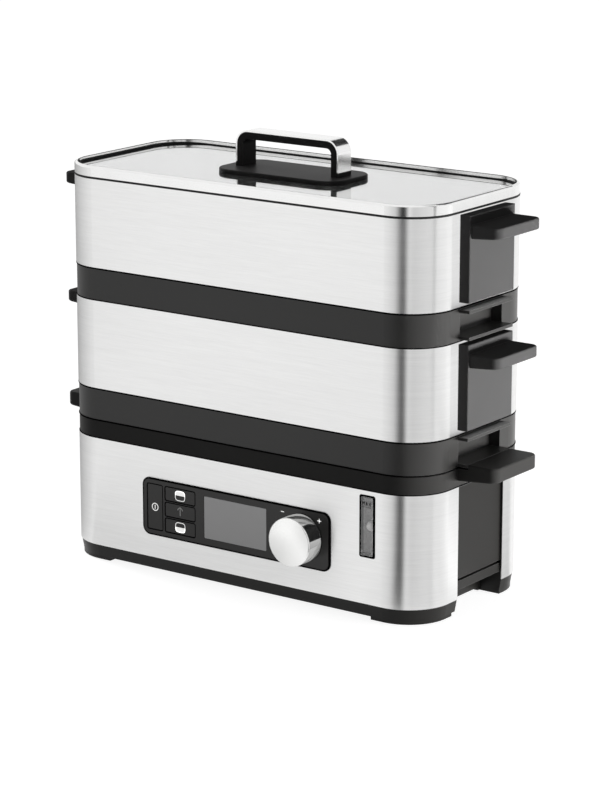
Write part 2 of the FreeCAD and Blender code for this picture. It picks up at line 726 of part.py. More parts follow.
def sight_glass():
    """A clear box in the front slot with a flange behind the steel and two pipes to the reservoir."""
    front = upright(
        WINDOW_X, WINDOW_Z, WINDOW_WIDTH - 2 * SLIP, WINDOW_HEIGHT - 2 * SLIP, WINDOW_RADIUS - SLIP,
        FRONT - WINDOW_PROUD, FRONT + WINDOW_DEPTH)
    flange = upright(
        WINDOW_X, WINDOW_Z, WINDOW_WIDTH + 2 * WINDOW_FLANGE, WINDOW_HEIGHT + 2 * WINDOW_FLANGE,
        WINDOW_RADIUS + WINDOW_FLANGE, FRONT + SHEET, FRONT + SHEET + WINDOW_FLANGE)
    glass = front.fuse(flange)
    for z in pipe_heights():
        glass = glass.fuse(rod_y(
            WINDOW_X, z, SPIGOT_PIPE_RADIUS, FRONT + WINDOW_DEPTH, BASIN_FRONT + BASIN_WALL))
    low, high = float_chamber()
    glass = glass.cut(block(low.x, high.x, low.y, high.y, low.z, high.z))
    for z in pipe_heights():
        glass = glass.cut(rod_y(
            WINDOW_X, z, SPIGOT_BORE_RADIUS, high.y, BASIN_FRONT + BASIN_WALL))
    return glass.removeSplitter()


def float_middle():
    low, high = float_chamber()
    return V(WINDOW_X, (low.y + high.y) / 2, low.z + FLOAT_HEIGHT * (high.z - low.z))


def level_float():
    low, high = float_chamber()
    return Part.makeSphere((high.x - low.x) / 2 - FLOAT_GAP, float_middle())


# Drip tray

def tongue(x0, x1, half, radius, z0, z1):
    """A shelf in plan that starts at x0 and ends at x1 with two round corners."""
    bend = radius * (1 - 0.5 ** 0.5)
    a = V(x0, -half, z0)
    b = V(x1 - radius, -half, z0)
    c = V(x1, radius - half, z0)
    d = V(x1, half - radius, z0)
    e = V(x1 - radius, half, z0)
    f = V(x0, half, z0)
    wire = Part.Wire([
        Part.LineSegment(a, b).toShape(),
        Part.Arc(b, V(x1 - bend, bend - half, z0), c).toShape(),
        Part.LineSegment(c, d).toShape(),
        Part.Arc(d, V(x1 - bend, half - bend, z0), e).toShape(),
        Part.LineSegment(e, f).toShape(),
        Part.LineSegment(f, a).toShape(),
    ])
    return Part.Face(wire).extrude(V(0, 0, z1 - z0))


def shelf(x0, half, z0, z1, taper, round_over):
    """A handle shelf that starts at x0: level on top, its underside rising by taper to the end."""
    end = HALF_LENGTH + SHELF_REACH
    plank = tongue(x0, end, half, SHELF_CORNER, z0, z1)
    start = max(x0, HALF_LENGTH)
    corners = [V(start, -half, z0), V(end, -half, z0), V(end, -half, z0 + taper), V(start, -half, z0)]
    wedge = Part.Face(Part.makePolygon(corners)).extrude(V(0, 2 * half, 0))
    plank = plank.cut(wedge)
    along = [
        edge for edge in plank.Edges
        if edge.BoundBox.XMax > start + SAME and edge.BoundBox.ZLength < taper + SAME
    ]
    return plank.makeFillet(round_over, along)


def drip_grip():
    """The right handle of the drip tray. Its root is cut down to take the lip of the ring above."""
    root = HALF_LENGTH - RING_SETBACK - DRIP_WALL
    top = LOWER_Z + LIP_LOW_RISE + LIP_THICKNESS
    grip = shelf(
        root, DRIP_GRIP_HALF, DRIP_Z + DRIP_GRIP_FOOT, top, DRIP_GRIP_TAPER, DRIP_GRIP_EDGE)
    seat = block(
        root, PLATE_FACE + LIFT_FIT, -DRIP_GRIP_HALF, DRIP_GRIP_HALF, LOWER_Z, top)
    return grip.cut(seat)


def drip_tray():
    """A band with a floor, a steam chimney, a skirt that sits in the basin and a handle at each end."""
    floor_z = DRIP_Z + DRIP_FLOOR_RISE
    tray = dark_band(DRIP_Z, LOWER_Z, DRIP_WALL)
    tray = tray.fuse(body_slab(RING_SETBACK + DRIP_WALL, floor_z, floor_z + DRIP_FLOOR))
    skirt_inset = BASIN_WALL + LIFT_FIT
    skirt = basin_slab(skirt_inset, DRIP_Z - DRIP_SKIRT, floor_z)
    skirt = skirt.cut(basin_slab(skirt_inset + DRIP_WALL, DRIP_Z - DRIP_SKIRT, floor_z))
    tray = tray.fuse(skirt)
    top = floor_z + DRIP_FLOOR + CHIMNEY_HEIGHT
    tray = tray.fuse(rounded_slab(
        CHIMNEY_LENGTH, CHIMNEY_DEPTH, CHIMNEY_RADIUS, floor_z, top, BASIN_Y))
    tray = tray.cut(rounded_slab(
        CHIMNEY_LENGTH - 2 * DRIP_WALL, CHIMNEY_DEPTH - 2 * DRIP_WALL, CHIMNEY_RADIUS - DRIP_WALL,
        floor_z, top, BASIN_Y))
    for grip in both_ends(drip_grip()):
        tray = tray.fuse(grip)
    return tray.removeSplitter()


# Baskets

def ring_recess(z0):
    """Body and cut of the grip recess at the right end of a ring, with its low and high lip."""
    back = HALF_LENGTH - RING_SETBACK - RECESS_DEPTH
    low = z0 + LIP_LOW_RISE
    high = z0 + RING_HEIGHT - LIP_HIGH_DROP
    wall = RECESS_HALF + MOULDING
    body = block(
        back - MOULDING, HALF_LENGTH - RING_SETBACK - MOULDING / 2, -wall, wall, z0, high)
    cut = block(
        back, HALF_LENGTH, -RECESS_HALF, RECESS_HALF, low + LIP_THICKNESS, high - LIP_THICKNESS)
    for z in (low, high - LIP_THICKNESS):
        body = body.fuse(block(
            HALF_LENGTH - RING_SETBACK - MOULDING, PLATE_FACE, -LIP_HALF, LIP_HALF,
            z, z + LIP_THICKNESS))
    return body, cut


def dark_band(z0, z1, wall):
    """An outer band with its top and bottom edges broken, which leaves a dark line at each joint."""
    band = body_slab(RING_SETBACK, z0, z1)
    band = band.makeChamfer(RING_EDGE, level_edges(band, z0) + level_edges(band, z1))
    return band.cut(body_slab(RING_SETBACK + wall, z0, z1))


def basket_ring(z0):
    """A dark band with a spigot below, a ledge for the tray and an upstand inside the shell."""
    top = z0 + RING_HEIGHT
    inside = RING_SETBACK + MOULDING
    ring = dark_band(z0, top, MOULDING)
    ring = ring.fuse(body_wall(inside, SPIGOT_INSET + SPIGOT_WALL - inside, z0, z0 + RING_FLANGE))
    ring = ring.fuse(body_wall(SPIGOT_INSET, SPIGOT_WALL, z0 - SPIGOT_DEPTH, z0 + RING_FLANGE))
    ring = ring.fuse(body_wall(SHEET_INSIDE, inside - SHEET_INSIDE, top, top + RING_UPSTAND))
    ledge_top = top - LEDGE_DROP
    ring = ring.fuse(body_wall(inside, LEDGE_WIDTH, ledge_top - RING_FLANGE, ledge_top))
    body, cut = ring_recess(z0)
    for end_body, end_cut in zip(both_ends(body), both_ends(cut)):
        ring = ring.fuse(end_body).cut(end_cut)
    return ring.removeSplitter()


def basket_shell(z0):
    """The steel wall of a basket with a folded hem inside its top edge."""
    top = z0 + SHELL_HEIGHT
    shell = body_wall(0, SHEET, z0, top)
    shell = shell.fuse(body_wall(SHEET, HEM_THICKNESS - SHEET, top - HEM_HEIGHT, top))
    for y, z in handle_screw_places(z0):
        shell = shell.cut(rod_x(y, z, SCREW_RADIUS, -HALF_LENGTH, HALF_LENGTH))
    return shell.removeSplitter()


def handle_screw_places(z0):
    middle = z0 + (SHELL_HEIGHT + PLATE_FOOT - PLATE_HEAD) / 2
    return [(side * HANDLE_SCREW_SPREAD, middle) for side in (-1, 1)]


def basket_handle(z0):
    """The right handle: a plate against the shell and a shelf standing out near its top."""
    bottom = z0 + PLATE_FOOT
    top = z0 + SHELL_HEIGHT - PLATE_HEAD
    shelf_top = top - SHELF_DROP
    shelf_bottom = shelf_top - SHELF_THICKNESS
    plate = block(HALF_LENGTH, PLATE_FACE, -PLATE_HALF, PLATE_HALF, bottom, top)
    outer = [edge for edge in plate.Edges if edge.BoundBox.XMin > PLATE_FACE - SAME]
    plate = plate.makeFillet(PLATE_EDGE, outer)
    reach = shelf(HALF_LENGTH, SHELF_HALF, shelf_bottom, shelf_top, SHELF_TAPER, SHELF_EDGE)
    handle = plate.fuse(reach).removeSplitter()
    for y, z in handle_screw_places(z0):
        handle = handle.cut(rod_x(y, z, SCREW_RADIUS, HALF_LENGTH, HALF_LENGTH + PLATE_THICKNESS / 2))
    return handle


def handle_screws(z0):
    """Screws from inside the shell into the two handles."""
    screws = []
    inside = HALF_LENGTH - SHEET
    for y, z in handle_screw_places(z0):
        head = rod_x(y, z, SCREW_HEAD_RADIUS, inside - SCREW_HEAD, inside)
        shank = rod_x(y, z, SCREW_RADIUS, inside, HALF_LENGTH + PLATE_THICKNESS / 2)
        screws += both_ends(head.fuse(shank).removeSplitter())
    return screws


def steaming_tray(ring_z):
    """A perforated steel tray with a standing edge, lying on the ring's ledge."""
    z0 = ring_z + RING_HEIGHT - LEDGE_DROP
    inset = RING_SETBACK + MOULDING + TRAY_GAP
    tray = body_slab(inset, z0, z0 + SHEET)
    tray = tray.fuse(body_wall(inset, TRAY_EDGE, z0, z0 + TRAY_EDGE_HEIGHT)).removeSplitter()
    reach_x = HALF_LENGTH - inset - TRAY_MARGIN
    reach_y = HALF_DEPTH - inset - TRAY_MARGIN
    columns = int(reach_x / TRAY_PITCH)
    rows = int(reach_y / TRAY_PITCH)
    holes = [
        rod_z(column * TRAY_PITCH, row * TRAY_PITCH, TRAY_HOLE_RADIUS, z0, z0 + SHEET)
        for column in range(-columns, columns + 1)
        for row in range(-rows, rows + 1)
    ]
    return tray.cut(Part.makeCompound(holes))


# Lid

def lid_rim():
    """A polished band rolled over at the top, a shelf for the glass and a lip inside the shell."""
    top = LID_Z + LID_HEIGHT
    rim = body_slab(0, LID_Z, top)
    rim = rim.makeFillet(RIM_ROLL, level_edges(rim, top))
    rim = rim.cut(body_slab(RIM_BAND, LID_Z + RIM_SHELF, top))
    rim = rim.cut(body_slab(RIM_SHELF_WIDTH, LID_Z, LID_Z + RIM_SHELF))
    opening_x = HALF_LENGTH - RIM_BAND + SAME
    opening_y = HALF_DEPTH - RIM_BAND + SAME
    opening = block(-opening_x, opening_x, -opening_y, opening_y, LID_Z, top).BoundBox
    inner = [edge for edge in level_edges(rim, top) if opening.isInside(edge.BoundBox)]
    rim = rim.makeFillet(RIM_INNER_EDGE, inner)
    lip_inset = HEM_THICKNESS + LIFT_FIT
    lip = body_wall(lip_inset, RIM_LIP, LID_Z - RIM_LIP_DEPTH, LID_Z + RIM_SHELF)
    return rim.fuse(lip).removeSplitter()


def lid_gasket():
    z0 = LID_Z + RIM_SHELF
    inset = RIM_BAND + SLIP
    return body_wall(inset, RIM_SHELF_WIDTH - inset, z0, z0 + GASKET)


def lid_screw_places():
    return [side * (GRIP_LENGTH - STRAP - GRIP_THICKNESS) / 2 for side in (-1, 1)]


def lid_glass():
    glass = body_slab(RIM_BAND + SLIP, LID_GLASS_Z, LID_GLASS_Z + GLASS)
    glass = glass.makeFillet(GLASS_EDGE, level_edges(glass, LID_GLASS_Z + GLASS))
    for x in lid_screw_places():
        glass = glass.cut(rod_z(
            x, 0, LID_SCREW_RADIUS + GLASS_HOLE_GAP, LID_GLASS_Z, LID_GLASS_Z + GLASS))
    return glass


def lid_handle_plate():
    plate = rounded_slab(GRIP_PLATE_LENGTH, GRIP_PLATE_DEPTH, GRIP_PLATE_RADIUS, GRIP_PLATE_Z, GRIP_Z)
    plate = plate.makeFillet(GRIP_PLATE_EDGE, level_edges(plate, GRIP_Z))
    for x in lid_screw_places():
        plate = plate.cut(rod_z(x, 0, LID_SCREW_RADIUS, GRIP_PLATE_Z, GRIP_Z))
    return plate


def arch(half, radius, z0, z1, width):
    """A bridge shape in the XZ plane, square at the foot and round at the two upper corners."""
    bend = radius * (1 - 0.5 ** 0.5)
    y = -width / 2
    a = V(-half, y, z0)
    b = V(-half, y, z1 - radius)
    c = V(radius - half, y, z1)
    d = V(half - radius, y, z1)
    e = V(half, y, z1 - radius)
    f = V(half, y, z0)
    wire = Part.Wire([
        Part.LineSegment(a, b).toShape(),
        Part.Arc(b, V(bend - half, y, z1 - bend), c).toShape(),
        Part.LineSegment(c, d).toShape(),
        Part.Arc(d, V(half - bend, y, z1 - bend), e).toShape(),
        Part.LineSegment(e, f).toShape(),
        Part.LineSegment(f, a).toShape(),
    ])
    return Part.Face(wire).extrude(V(0, width, 0))


def lid_handle_grip():
    """The black core of the grip: two posts, a bar between them and a foot under each strap end."""
    half = GRIP_LENGTH / 2 - STRAP
    top = GRIP_Z + GRIP_HEIGHT - STRAP
    wall = GRIP_THICKNESS - STRAP
    core = arch(half, GRIP_CORNER - STRAP, GRIP_Z, top, GRIP_WIDTH)
    core = core.cut(arch(half - wall, GRIP_CORNER - STRAP - wall, GRIP_Z, top - wall, GRIP_WIDTH))
    side = GRIP_WIDTH / 2
    foot = block(half, half + STRAP, -side, side, GRIP_Z, GRIP_Z + GRIP_FOOT)
    for end_foot in both_ends(foot):
        core = core.fuse(end_foot)
    core = core.removeSplitter()
    for x in lid_screw_places():
        core = core.cut(rod_z(x, 0, LID_SCREW_RADIUS, GRIP_Z, GRIP_Z + LID_SCREW_BITE))
    return core


def lid_handle_strap():
    """A bright strip over the top and the two outer sides of the grip."""
    half = GRIP_LENGTH / 2
    top = GRIP_Z + GRIP_HEIGHT
    foot = GRIP_Z + GRIP_FOOT
    strap = arch(half, GRIP_CORNER, foot, top, GRIP_WIDTH)
    return strap.cut(arch(half - STRAP, GRIP_CORNER - STRAP, foot, top - STRAP, GRIP_WIDTH))


def lid_screws():
    """Screws from under the glass up into the two posts of the grip."""
    screws = []
    for x in lid_screw_places():
        head = rod_z(x, 0, LID_SCREW_HEAD_RADIUS, LID_GLASS_Z - LID_SCREW_HEAD, LID_GLASS_Z)
        shank = rod_z(x, 0, LID_SCREW_RADIUS, LID_GLASS_Z, GRIP_Z + LID_SCREW_BITE)
        screws.append(head.fuse(shank).removeSplitter())
    return screws


def base_nodes():
    nodes = {
        "base_chassis": base_chassis(),
        "rubber_feet": rubber_feet(),
        "chassis_screws": chassis_screws(),
        "front_wrap": front_wrap(),
        "rear_wrap": rear_wrap(),
        "right_end_panel": end_panel(),
        "left_end_panel": mirrored(end_panel()),
        "water_reservoir": water_reservoir(),
        "heating_plate": heating_plate(),
        "heater_seal": heater_seal(),
        "heater_clamp": heater_clamp(),
        "heating_element": heating_element(),
        "thermostat": thermostat(),
        "power_board": power_board(),
        "cord_gland": cord_gland(),
        "control_bezel": control_bezel(),
        "display_window": display_window(),
        "display_module": display_module(),
        "control_board": control_board(),
        "key_switches": key_switches(),
        "encoder_body": encoder_body(),
        "encoder_shaft": encoder_shaft(),
        "selector_knob": selector_knob(),
        "sight_glass": sight_glass(),
        "level_float": level_float(),
    }
    for name in key_outlines():
        nodes[name] = push_key(name)
    return nodes


def basket_nodes(name, z0):
    shell_z = z0 + RING_HEIGHT
    return {
        name + "_ring": basket_ring(z0),
        name + "_shell": basket_shell(shell_z),
        name + "_steaming_tray": steaming_tray(z0),
        name + "_right_handle": basket_handle(shell_z),
        name + "_left_handle": mirrored(basket_handle(shell_z)),
        name + "_handle_screws": handle_screws(shell_z),
    }


def lid_nodes():
    return {
        "lid_rim": lid_rim(),
        "lid_gasket": lid_gasket(),
        "lid_glass": lid_glass(),
        "lid_handle_plate": lid_handle_plate(),
        "lid_handle_grip": lid_handle_grip(),
        "lid_handle_strap": lid_handle_strap(),
        "lid_screws": lid_screws(),
    }


def main():
    os.makedirs("parts", exist_ok=True)
    nodes = base_nodes()
    nodes["drip_tray"] = drip_tray()
    nodes.update(basket_nodes("lower", LOWER_Z))
    nodes.update(basket_nodes("upper", UPPER_Z))
    nodes.update(lid_nodes())
    for name, shape in nodes.items():
        if isinstance(shape, list):
            shape = Part.makeCompound(shape)
        shape.translate(V(0, BODY_SHIFT, 0))
        shape.exportStep("parts/" + name + ".step")
        solids = len(shape.Solids)
        print(name, "solids", solids, "valid", shape.isValid(), "volume", round(shape.Volume))


main()
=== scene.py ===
import json
import math

import bmesh
import bpy
import numpy as np
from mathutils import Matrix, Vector


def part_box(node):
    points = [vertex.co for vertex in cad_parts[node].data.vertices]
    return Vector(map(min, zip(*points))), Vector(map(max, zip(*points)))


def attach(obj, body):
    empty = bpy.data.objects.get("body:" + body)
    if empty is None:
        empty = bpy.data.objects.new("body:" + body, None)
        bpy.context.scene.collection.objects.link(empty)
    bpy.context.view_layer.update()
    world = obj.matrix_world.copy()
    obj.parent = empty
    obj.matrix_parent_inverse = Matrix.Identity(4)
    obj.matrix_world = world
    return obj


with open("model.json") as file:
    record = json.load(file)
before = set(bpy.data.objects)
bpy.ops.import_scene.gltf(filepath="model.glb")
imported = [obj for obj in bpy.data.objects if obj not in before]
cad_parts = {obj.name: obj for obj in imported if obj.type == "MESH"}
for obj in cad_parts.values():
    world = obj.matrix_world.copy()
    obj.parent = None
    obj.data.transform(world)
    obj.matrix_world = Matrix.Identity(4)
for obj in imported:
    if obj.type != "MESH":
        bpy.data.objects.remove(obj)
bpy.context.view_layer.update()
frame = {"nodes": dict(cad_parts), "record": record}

# Looks of a two-tier electric steamer. Metres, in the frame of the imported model: +Z up, the control
# panel faces -Y and the basket handles stand out along X.

MM = 0.001

# Body outline that the steel, the dark rings and the lid share
BODY_HALF_X = 155 * MM
BODY_HALF_Y = 69 * MM
BODY_CORNER = 32 * MM
BODY_Y = 6.8 * MM

# Centre of the rounding at its front corners
CORNER_X = BODY_HALF_X - BODY_CORNER
CORNER_Y = BODY_Y - BODY_HALF_Y + BODY_CORNER

# Control panel: its corners, and the width of the painted shade, a deep black, along its edge
PANEL_CORNER = 6.0 * MM
PANEL_SHADE_WIDTH = 1.3 * MM

# Camera of the photograph: place, direction, lens and film width in millimetres, and the depth it sees
CAMERA_PLACE = (1.192593, -1.635299, 0.638096)
CAMERA_AZIMUTH = math.radians(35.8522)
CAMERA_PITCH = math.radians(14.2551)
CAMERA_LENS = 134.338
CAMERA_FILM = 36.0
CAMERA_DEPTH = (0.05, 100.0)


class Strand:
    """A shader socket that joins in Python sums: each operator adds one Math node."""

    def __init__(self, tree, socket=None):
        self.tree = tree
        self.socket = socket

    def node(self, kind, settings=None, values=None, out=0):
        """Adds a node: its settings first, then the values or links of its sockets."""
        made = self.tree.nodes.new(kind)
        for key, value in (settings or {}).items():
            if key == "stops":
                ramp = made.color_ramp
                while len(ramp.elements) < len(value):
                    ramp.elements.new(1.0)
                for element, (place, colour) in zip(ramp.elements, value):
                    element.position = place
                    element.color = colour
            else:
                setattr(made, key, value)
        for key, value in (values or {}).items():
            if isinstance(value, Strand):
                self.tree.links.new(value.socket, made.inputs[key])
            else:
                made.inputs[key].default_value = value
        return Strand(self.tree, made.outputs[out])

    def other(self, out):
        """Another output of the same node."""
        return Strand(self.tree, self.socket.node.outputs[out])

    def feed(self, shader, name):
        """Links the socket to a named input of a shader or an output node."""
        self.tree.links.new(self.socket, shader.inputs[name])

    def sum_of(self, operation, first, second):
        """One step of arithmetic between two values or strands."""
        return self.node("ShaderNodeMath", {"operation": operation}, {0: first, 1: second})

    def __add__(self, value):
        return self.sum_of("ADD", self, value)

    def __radd__(self, value):
        return self.sum_of("ADD", value, self)

    def __sub__(self, value):
        return self.sum_of("SUBTRACT", self, value)

    def __rsub__(self, value):
        return self.sum_of("SUBTRACT", value, self)

    def __mul__(self, value):
        return self.sum_of("MULTIPLY", self, value)

    def __pow__(self, value):
        return self.sum_of("POWER", self, value)

    def __gt__(self, value):
        return self.sum_of("GREATER_THAN", self, value)

    def __lt__(self, value):
        return self.sum_of("LESS_THAN", self, value)


# Parts that the finishes share

def start_finish(name, constants):
    """A new material: what is the same all over goes straight on its shader's sockets."""
    material = bpy.data.materials.new(name)
    material.use_nodes = True
    shader = material.node_tree.nodes["Principled BSDF"]
    for socket, value in constants.items():
        shader.inputs[socket].default_value = value
    return material, Strand(material.node_tree), shader


def places(strand):
    """Object coordinates, in metres, which are the frame's own on every piece."""
    return strand.node("ShaderNodeTexCoord", out="Object")


def place_axes(strand):
    """X of the places. Its other outputs are Y and Z."""
    return strand.node("ShaderNodeSeparateXYZ", None, {0: places(strand)})


def stretched_noise(strand, scale, detail=2.0, roughness=0.5, shift=(0.0, 0.0, 0.0)):
    """Noise whose cells are 1/scale metres long on each axis."""
    spot = strand.node(
        "ShaderNodeMapping", None, {"Vector": places(strand), "Scale": scale, "Location": shift})
    return strand.node(
        "ShaderNodeTexNoise", {"noise_dimensions": "3D"},
        {"Vector": spot, "Scale": 1.0, "Detail": detail, "Roughness": roughness})


def even_noise(strand, scale, detail=2.0, roughness=0.5):
    """Noise whose cells are equally long on all axes."""
    return stretched_noise(strand, (scale, scale, scale), detail, roughness)


def tint(strand, factor, low, high):
    """A colour between low and high by factor. Each of them is three numbers or a strand."""
    ends = [end if isinstance(end, Strand) else (*end, 1.0) for end in (low, high)]
    return strand.node(
        "ShaderNodeMix", {"data_type": "RGBA"}, {0: factor, 6: ends[0], 7: ends[1]}, out=2)


def vector_sum(strand, operation, first, second=(0.0, 0.0, 0.0), out=0):
    """One step of vector arithmetic."""
    return strand.node("ShaderNodeVectorMath", {"operation": operation}, {0: first, 1: second}, out)


def clamped(strand, value):
    """The value held between 0 and 1."""
    return strand.node("ShaderNodeClamp", None, {0: value})


def edge_round(strand, radius):
    """Normals of edges rounded by radius."""
    return strand.node("ShaderNodeBevel", {"samples": 6}, {"Radius": radius})


def relief(strand, height, distance, strength=1.0, normal=None):
    """Normals of a surface that height lifts by up to distance."""
    values = {"Height": height, "Distance": distance, "Strength": strength}
    if normal is not None:
        values["Normal"] = normal
    return strand.node("ShaderNodeBump", None, values)


def outline_depth(strand, across, up, half_across, half_up, corner):
    """Signed distance from a rectangle with round corners about the origin: below 0 inside it."""
    beyond_a = strand.sum_of("ABSOLUTE", across, 0.0) - (half_across - corner)
    beyond_b = strand.sum_of("ABSOLUTE", up, 0.0) - (half_up - corner)
    corner_a = strand.sum_of("MAXIMUM", beyond_a, 0.0)
    corner_b = strand.sum_of("MAXIMUM", beyond_b, 0.0)
    flat = strand.sum_of("MINIMUM", strand.sum_of("MAXIMUM", beyond_a, beyond_b), 0.0)
    return (corner_a * corner_a + corner_b * corner_b) ** 0.5 + flat - corner


# Finishes

# Edges as the finishes round them: screws, sheet steel and the panel, moulded plastic
SCREW_EDGE = 0.2 * MM
FINE_EDGE = 0.3 * MM
MOULD_EDGE = 0.4 * MM

# Painted highlight along the edges of plastic: how far it reaches, and the gain that brings a right-angled
# edge to 1
HIGHLIGHT_REACH = 0.7 * MM
HIGHLIGHT_GAIN = 3.4

# Depth under the body's outline at which a steel face counts as inside
STEEL_SKIN = 0.5 * MM


def brushed_steel():
    """Sheet steel with fine scratches that run level round the body, and a dull satin inside."""
    material, s, shader = start_finish("brushed_steel", {
        "Metallic": 1.0, "Anisotropic": 0.9, "Anisotropic Rotation": 0.25})
    fine = stretched_noise(s, (60.0, 60.0, 2000.0), detail=3.0, roughness=0.65)
    broad = stretched_noise(
        s, (12.0, 12.0, 320.0), detail=3.0, roughness=0.65, shift=(3.1, 1.7, 0.4))
    cloud = stretched_noise(s, (9.0, 9.0, 14.0), shift=(0.3, 5.2, 2.4))
    grain = fine * 0.55 + broad * 0.45
    axes = place_axes(s)
    depth = outline_depth(s, axes, axes.other("Y") - BODY_Y, BODY_HALF_X, BODY_HALF_Y, BODY_CORNER)
    inside = depth < -STEEL_SKIN
    outer = tint(s, grain * 0.75 + cloud * 0.25, (0.69, 0.69, 0.686), (0.98, 0.98, 0.976))
    tint(s, inside, outer, (0.74, 0.74, 0.736)).feed(shader, "Base Color")
    (0.25 + grain * 0.12 + cloud * 0.06 + inside * 0.15).feed(shader, "Roughness")
    relief(s, fine, 0.04 * MM, 0.35, edge_round(s, FINE_EDGE)).feed(shader, "Normal")
    return material


def polished_steel():
    """Bright rolled steel with a trace of wiping marks."""
    material, s, shader = start_finish("polished_steel", {"Metallic": 1.0})
    wipe = stretched_noise(s, (40.0, 90.0, 60.0), detail=4.0, roughness=0.6)
    hair = stretched_noise(s, (60.0, 2400.0, 2400.0))
    tint(s, wipe, (0.80, 0.80, 0.795), (0.90, 0.90, 0.895)).feed(shader, "Base Color")
    (0.09 + wipe * 0.08 + hair * 0.03).feed(shader, "Roughness")
    edge_round(s, FINE_EDGE).feed(shader, "Normal")
    return material


# Knob: how far the gloss of its crowned side leans to the front, the doming of its face in slope per metre,
# the depth of what counts as its face, and the turned rings per metre
SIDE_LEAN = 0.47
FACE_DOME = 16.0
FACE_DEPTH = 0.7 * MM
FACE_RINGS = 5200.0


def knob_steel():
    """A mirror-smooth side, crowned towards the front, and a satin face turned in fine rings."""
    low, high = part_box("selector_knob")
    middle = ((low.x + high.x) / 2, 0.0, (low.z + high.z) / 2)
    material, s, shader = start_finish("knob_steel", {"Metallic": 1.0})
    axes = place_axes(s)
    across = axes - middle[0]
    up = axes.other("Z") - middle[2]
    radius = (across * across + up * up) ** 0.5
    face = axes.other("Y") < low.y + FACE_DEPTH
    rings = s.node("ShaderNodeTexNoise", {"noise_dimensions": "1D"}, {
        "W": radius * FACE_RINGS, "Scale": 1.0, "Detail": 2.0})
    wipe = even_noise(s, 50.0, detail=3.0)
    shine = tint(s, rings, (0.9, 0.9, 0.89), (0.97, 0.97, 0.96))
    tint(s, face, (0.5, 0.5, 0.495), shine).feed(shader, "Base Color")
    (face * (0.2 + rings * 0.1) + (1 - face) * (0.05 + wipe * 0.04)).feed(shader, "Roughness")
    soft = edge_round(s, FINE_EDGE)
    offset = vector_sum(s, "SUBTRACT", places(s), middle)
    slope = vector_sum(s, "MULTIPLY", offset, (FACE_DOME, 0.0, FACE_DOME))
    domed = vector_sum(s, "NORMALIZE", vector_sum(s, "ADD", soft, slope))
    turned = relief(s, rings, 0.03 * MM, 0.3, domed)
    leaning = vector_sum(s, "ADD", soft, (0.0, -SIDE_LEAN, 0.0))
    crowned = vector_sum(s, "NORMALIZE", leaning)
    s.node("ShaderNodeMix", {"data_type": "VECTOR"}, {
        0: face, 4: crowned, 5: turned}, out=1).feed(shader, "Normal")
    return material


def tray_steel():
    """Pressed sheet with a soft satin, slightly cloudy."""
    material, s, shader = start_finish("tray_steel", {"Metallic": 1.0})
    satin = even_noise(s, 900.0)
    cloud = even_noise(s, 30.0, detail=3.0)
    tint(s, cloud, (0.62, 0.62, 0.61), (0.76, 0.76, 0.75)).feed(shader, "Base Color")
    (0.26 + satin * 0.1 + cloud * 0.08).feed(shader, "Roughness")
    relief(s, satin, 0.05 * MM, 0.2, edge_round(s, FINE_EDGE)).feed(shader, "Normal")
    return material


def painted_edge_highlight(strand):
    """Mask of the painted edge highlight: from 0 on a face to about 1 on a sharp edge."""
    face = strand.node("ShaderNodeNewGeometry", out="True Normal")
    turn = vector_sum(strand, "DOT_PRODUCT", edge_round(strand, HIGHLIGHT_REACH), face, out="Value")
    return clamped(strand, (1 - turn) * HIGHLIGHT_GAIN)


def moulded_plastic(name, low, high, edge, rough, specular, grain):
    """Moulded plastic with a spark-eroded grain, uneven in tone and sheen, paler along its edges by a
    painted highlight.
    """
    material, s, shader = start_finish(name, {"Specular IOR Level": specular})
    speck = even_noise(s, 2600.0)
    cloud = even_noise(s, 22.0, detail=3.0)
    body = tint(s, speck * 0.35 + cloud * 0.65, low, high)
    # Painted highlight: the body colour is mixed towards the edge colour along the edges.
    tint(s, painted_edge_highlight(s), body, (edge, edge, edge)).feed(shader, "Base Color")
    (rough - 0.06 + speck * 0.06 + cloud * 0.06).feed(shader, "Roughness")
    relief(s, speck, 0.06 * MM, grain, edge_round(s, MOULD_EDGE)).feed(shader, "Normal")
    return material


def panel_gloss():
    """Smooth black of the control panel and its keys, with painted shade that makes it deepest along the
    panel's rounded edge.
    """
    low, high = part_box("control_bezel")
    material, s, shader = start_finish("panel_black", {"Specular IOR Level": 0.42})
    film = even_noise(s, 35.0, detail=3.0)
    speck = even_noise(s, 2600.0)
    axes = place_axes(s)
    depth = outline_depth(
        s, axes - (low.x + high.x) / 2, axes.other("Z") - (low.z + high.z) / 2,
        (high.x - low.x) / 2, (high.z - low.z) / 2, PANEL_CORNER)
    body = tint(s, film * 0.6 + speck * 0.4, (0.02, 0.0185, 0.017), (0.028, 0.026, 0.024))
    # Painted shade: a band along the panel's rounded edge is darker and duller.
    rim = depth > -PANEL_SHADE_WIDTH
    tint(s, rim, body, (0.004, 0.004, 0.004)).feed(shader, "Base Color")
    (0.14 + film * 0.05 + rim * 0.45).feed(shader, "Roughness")
    relief(s, speck, 0.04 * MM, 0.05, edge_round(s, FINE_EDGE)).feed(shader, "Normal")
    return material


def rubber(name, low, high, rough):
    """Soft rubber: nearly no gloss and a dusty unevenness."""
    material, s, shader = start_finish(name, {"Specular IOR Level": 0.25})
    dust = even_noise(s, 700.0, detail=4.0, roughness=0.65)
    tint(s, dust, low, high).feed(shader, "Base Color")
    (rough + dust * 0.1).feed(shader, "Roughness")
    relief(s, dust, 0.08 * MM, 0.25).feed(shader, "Normal")
    return material


def clear_sheet(name, colour, rough, rise, coat):
    """Clear glass or plastic with a trace of wiping marks in its sheen."""
    material, s, shader = start_finish(name, {
        "Base Color": (*colour, 1.0), "Transmission Weight": 1.0, "IOR": 1.5,
        "Coat Weight": coat, "Coat Roughness": 0.01, "Coat IOR": 2.0})
    wipe = stretched_noise(s, (30.0, 60.0, 40.0), detail=4.0, roughness=0.6)
    (rough + wipe * rise).feed(shader, "Roughness")
    return material


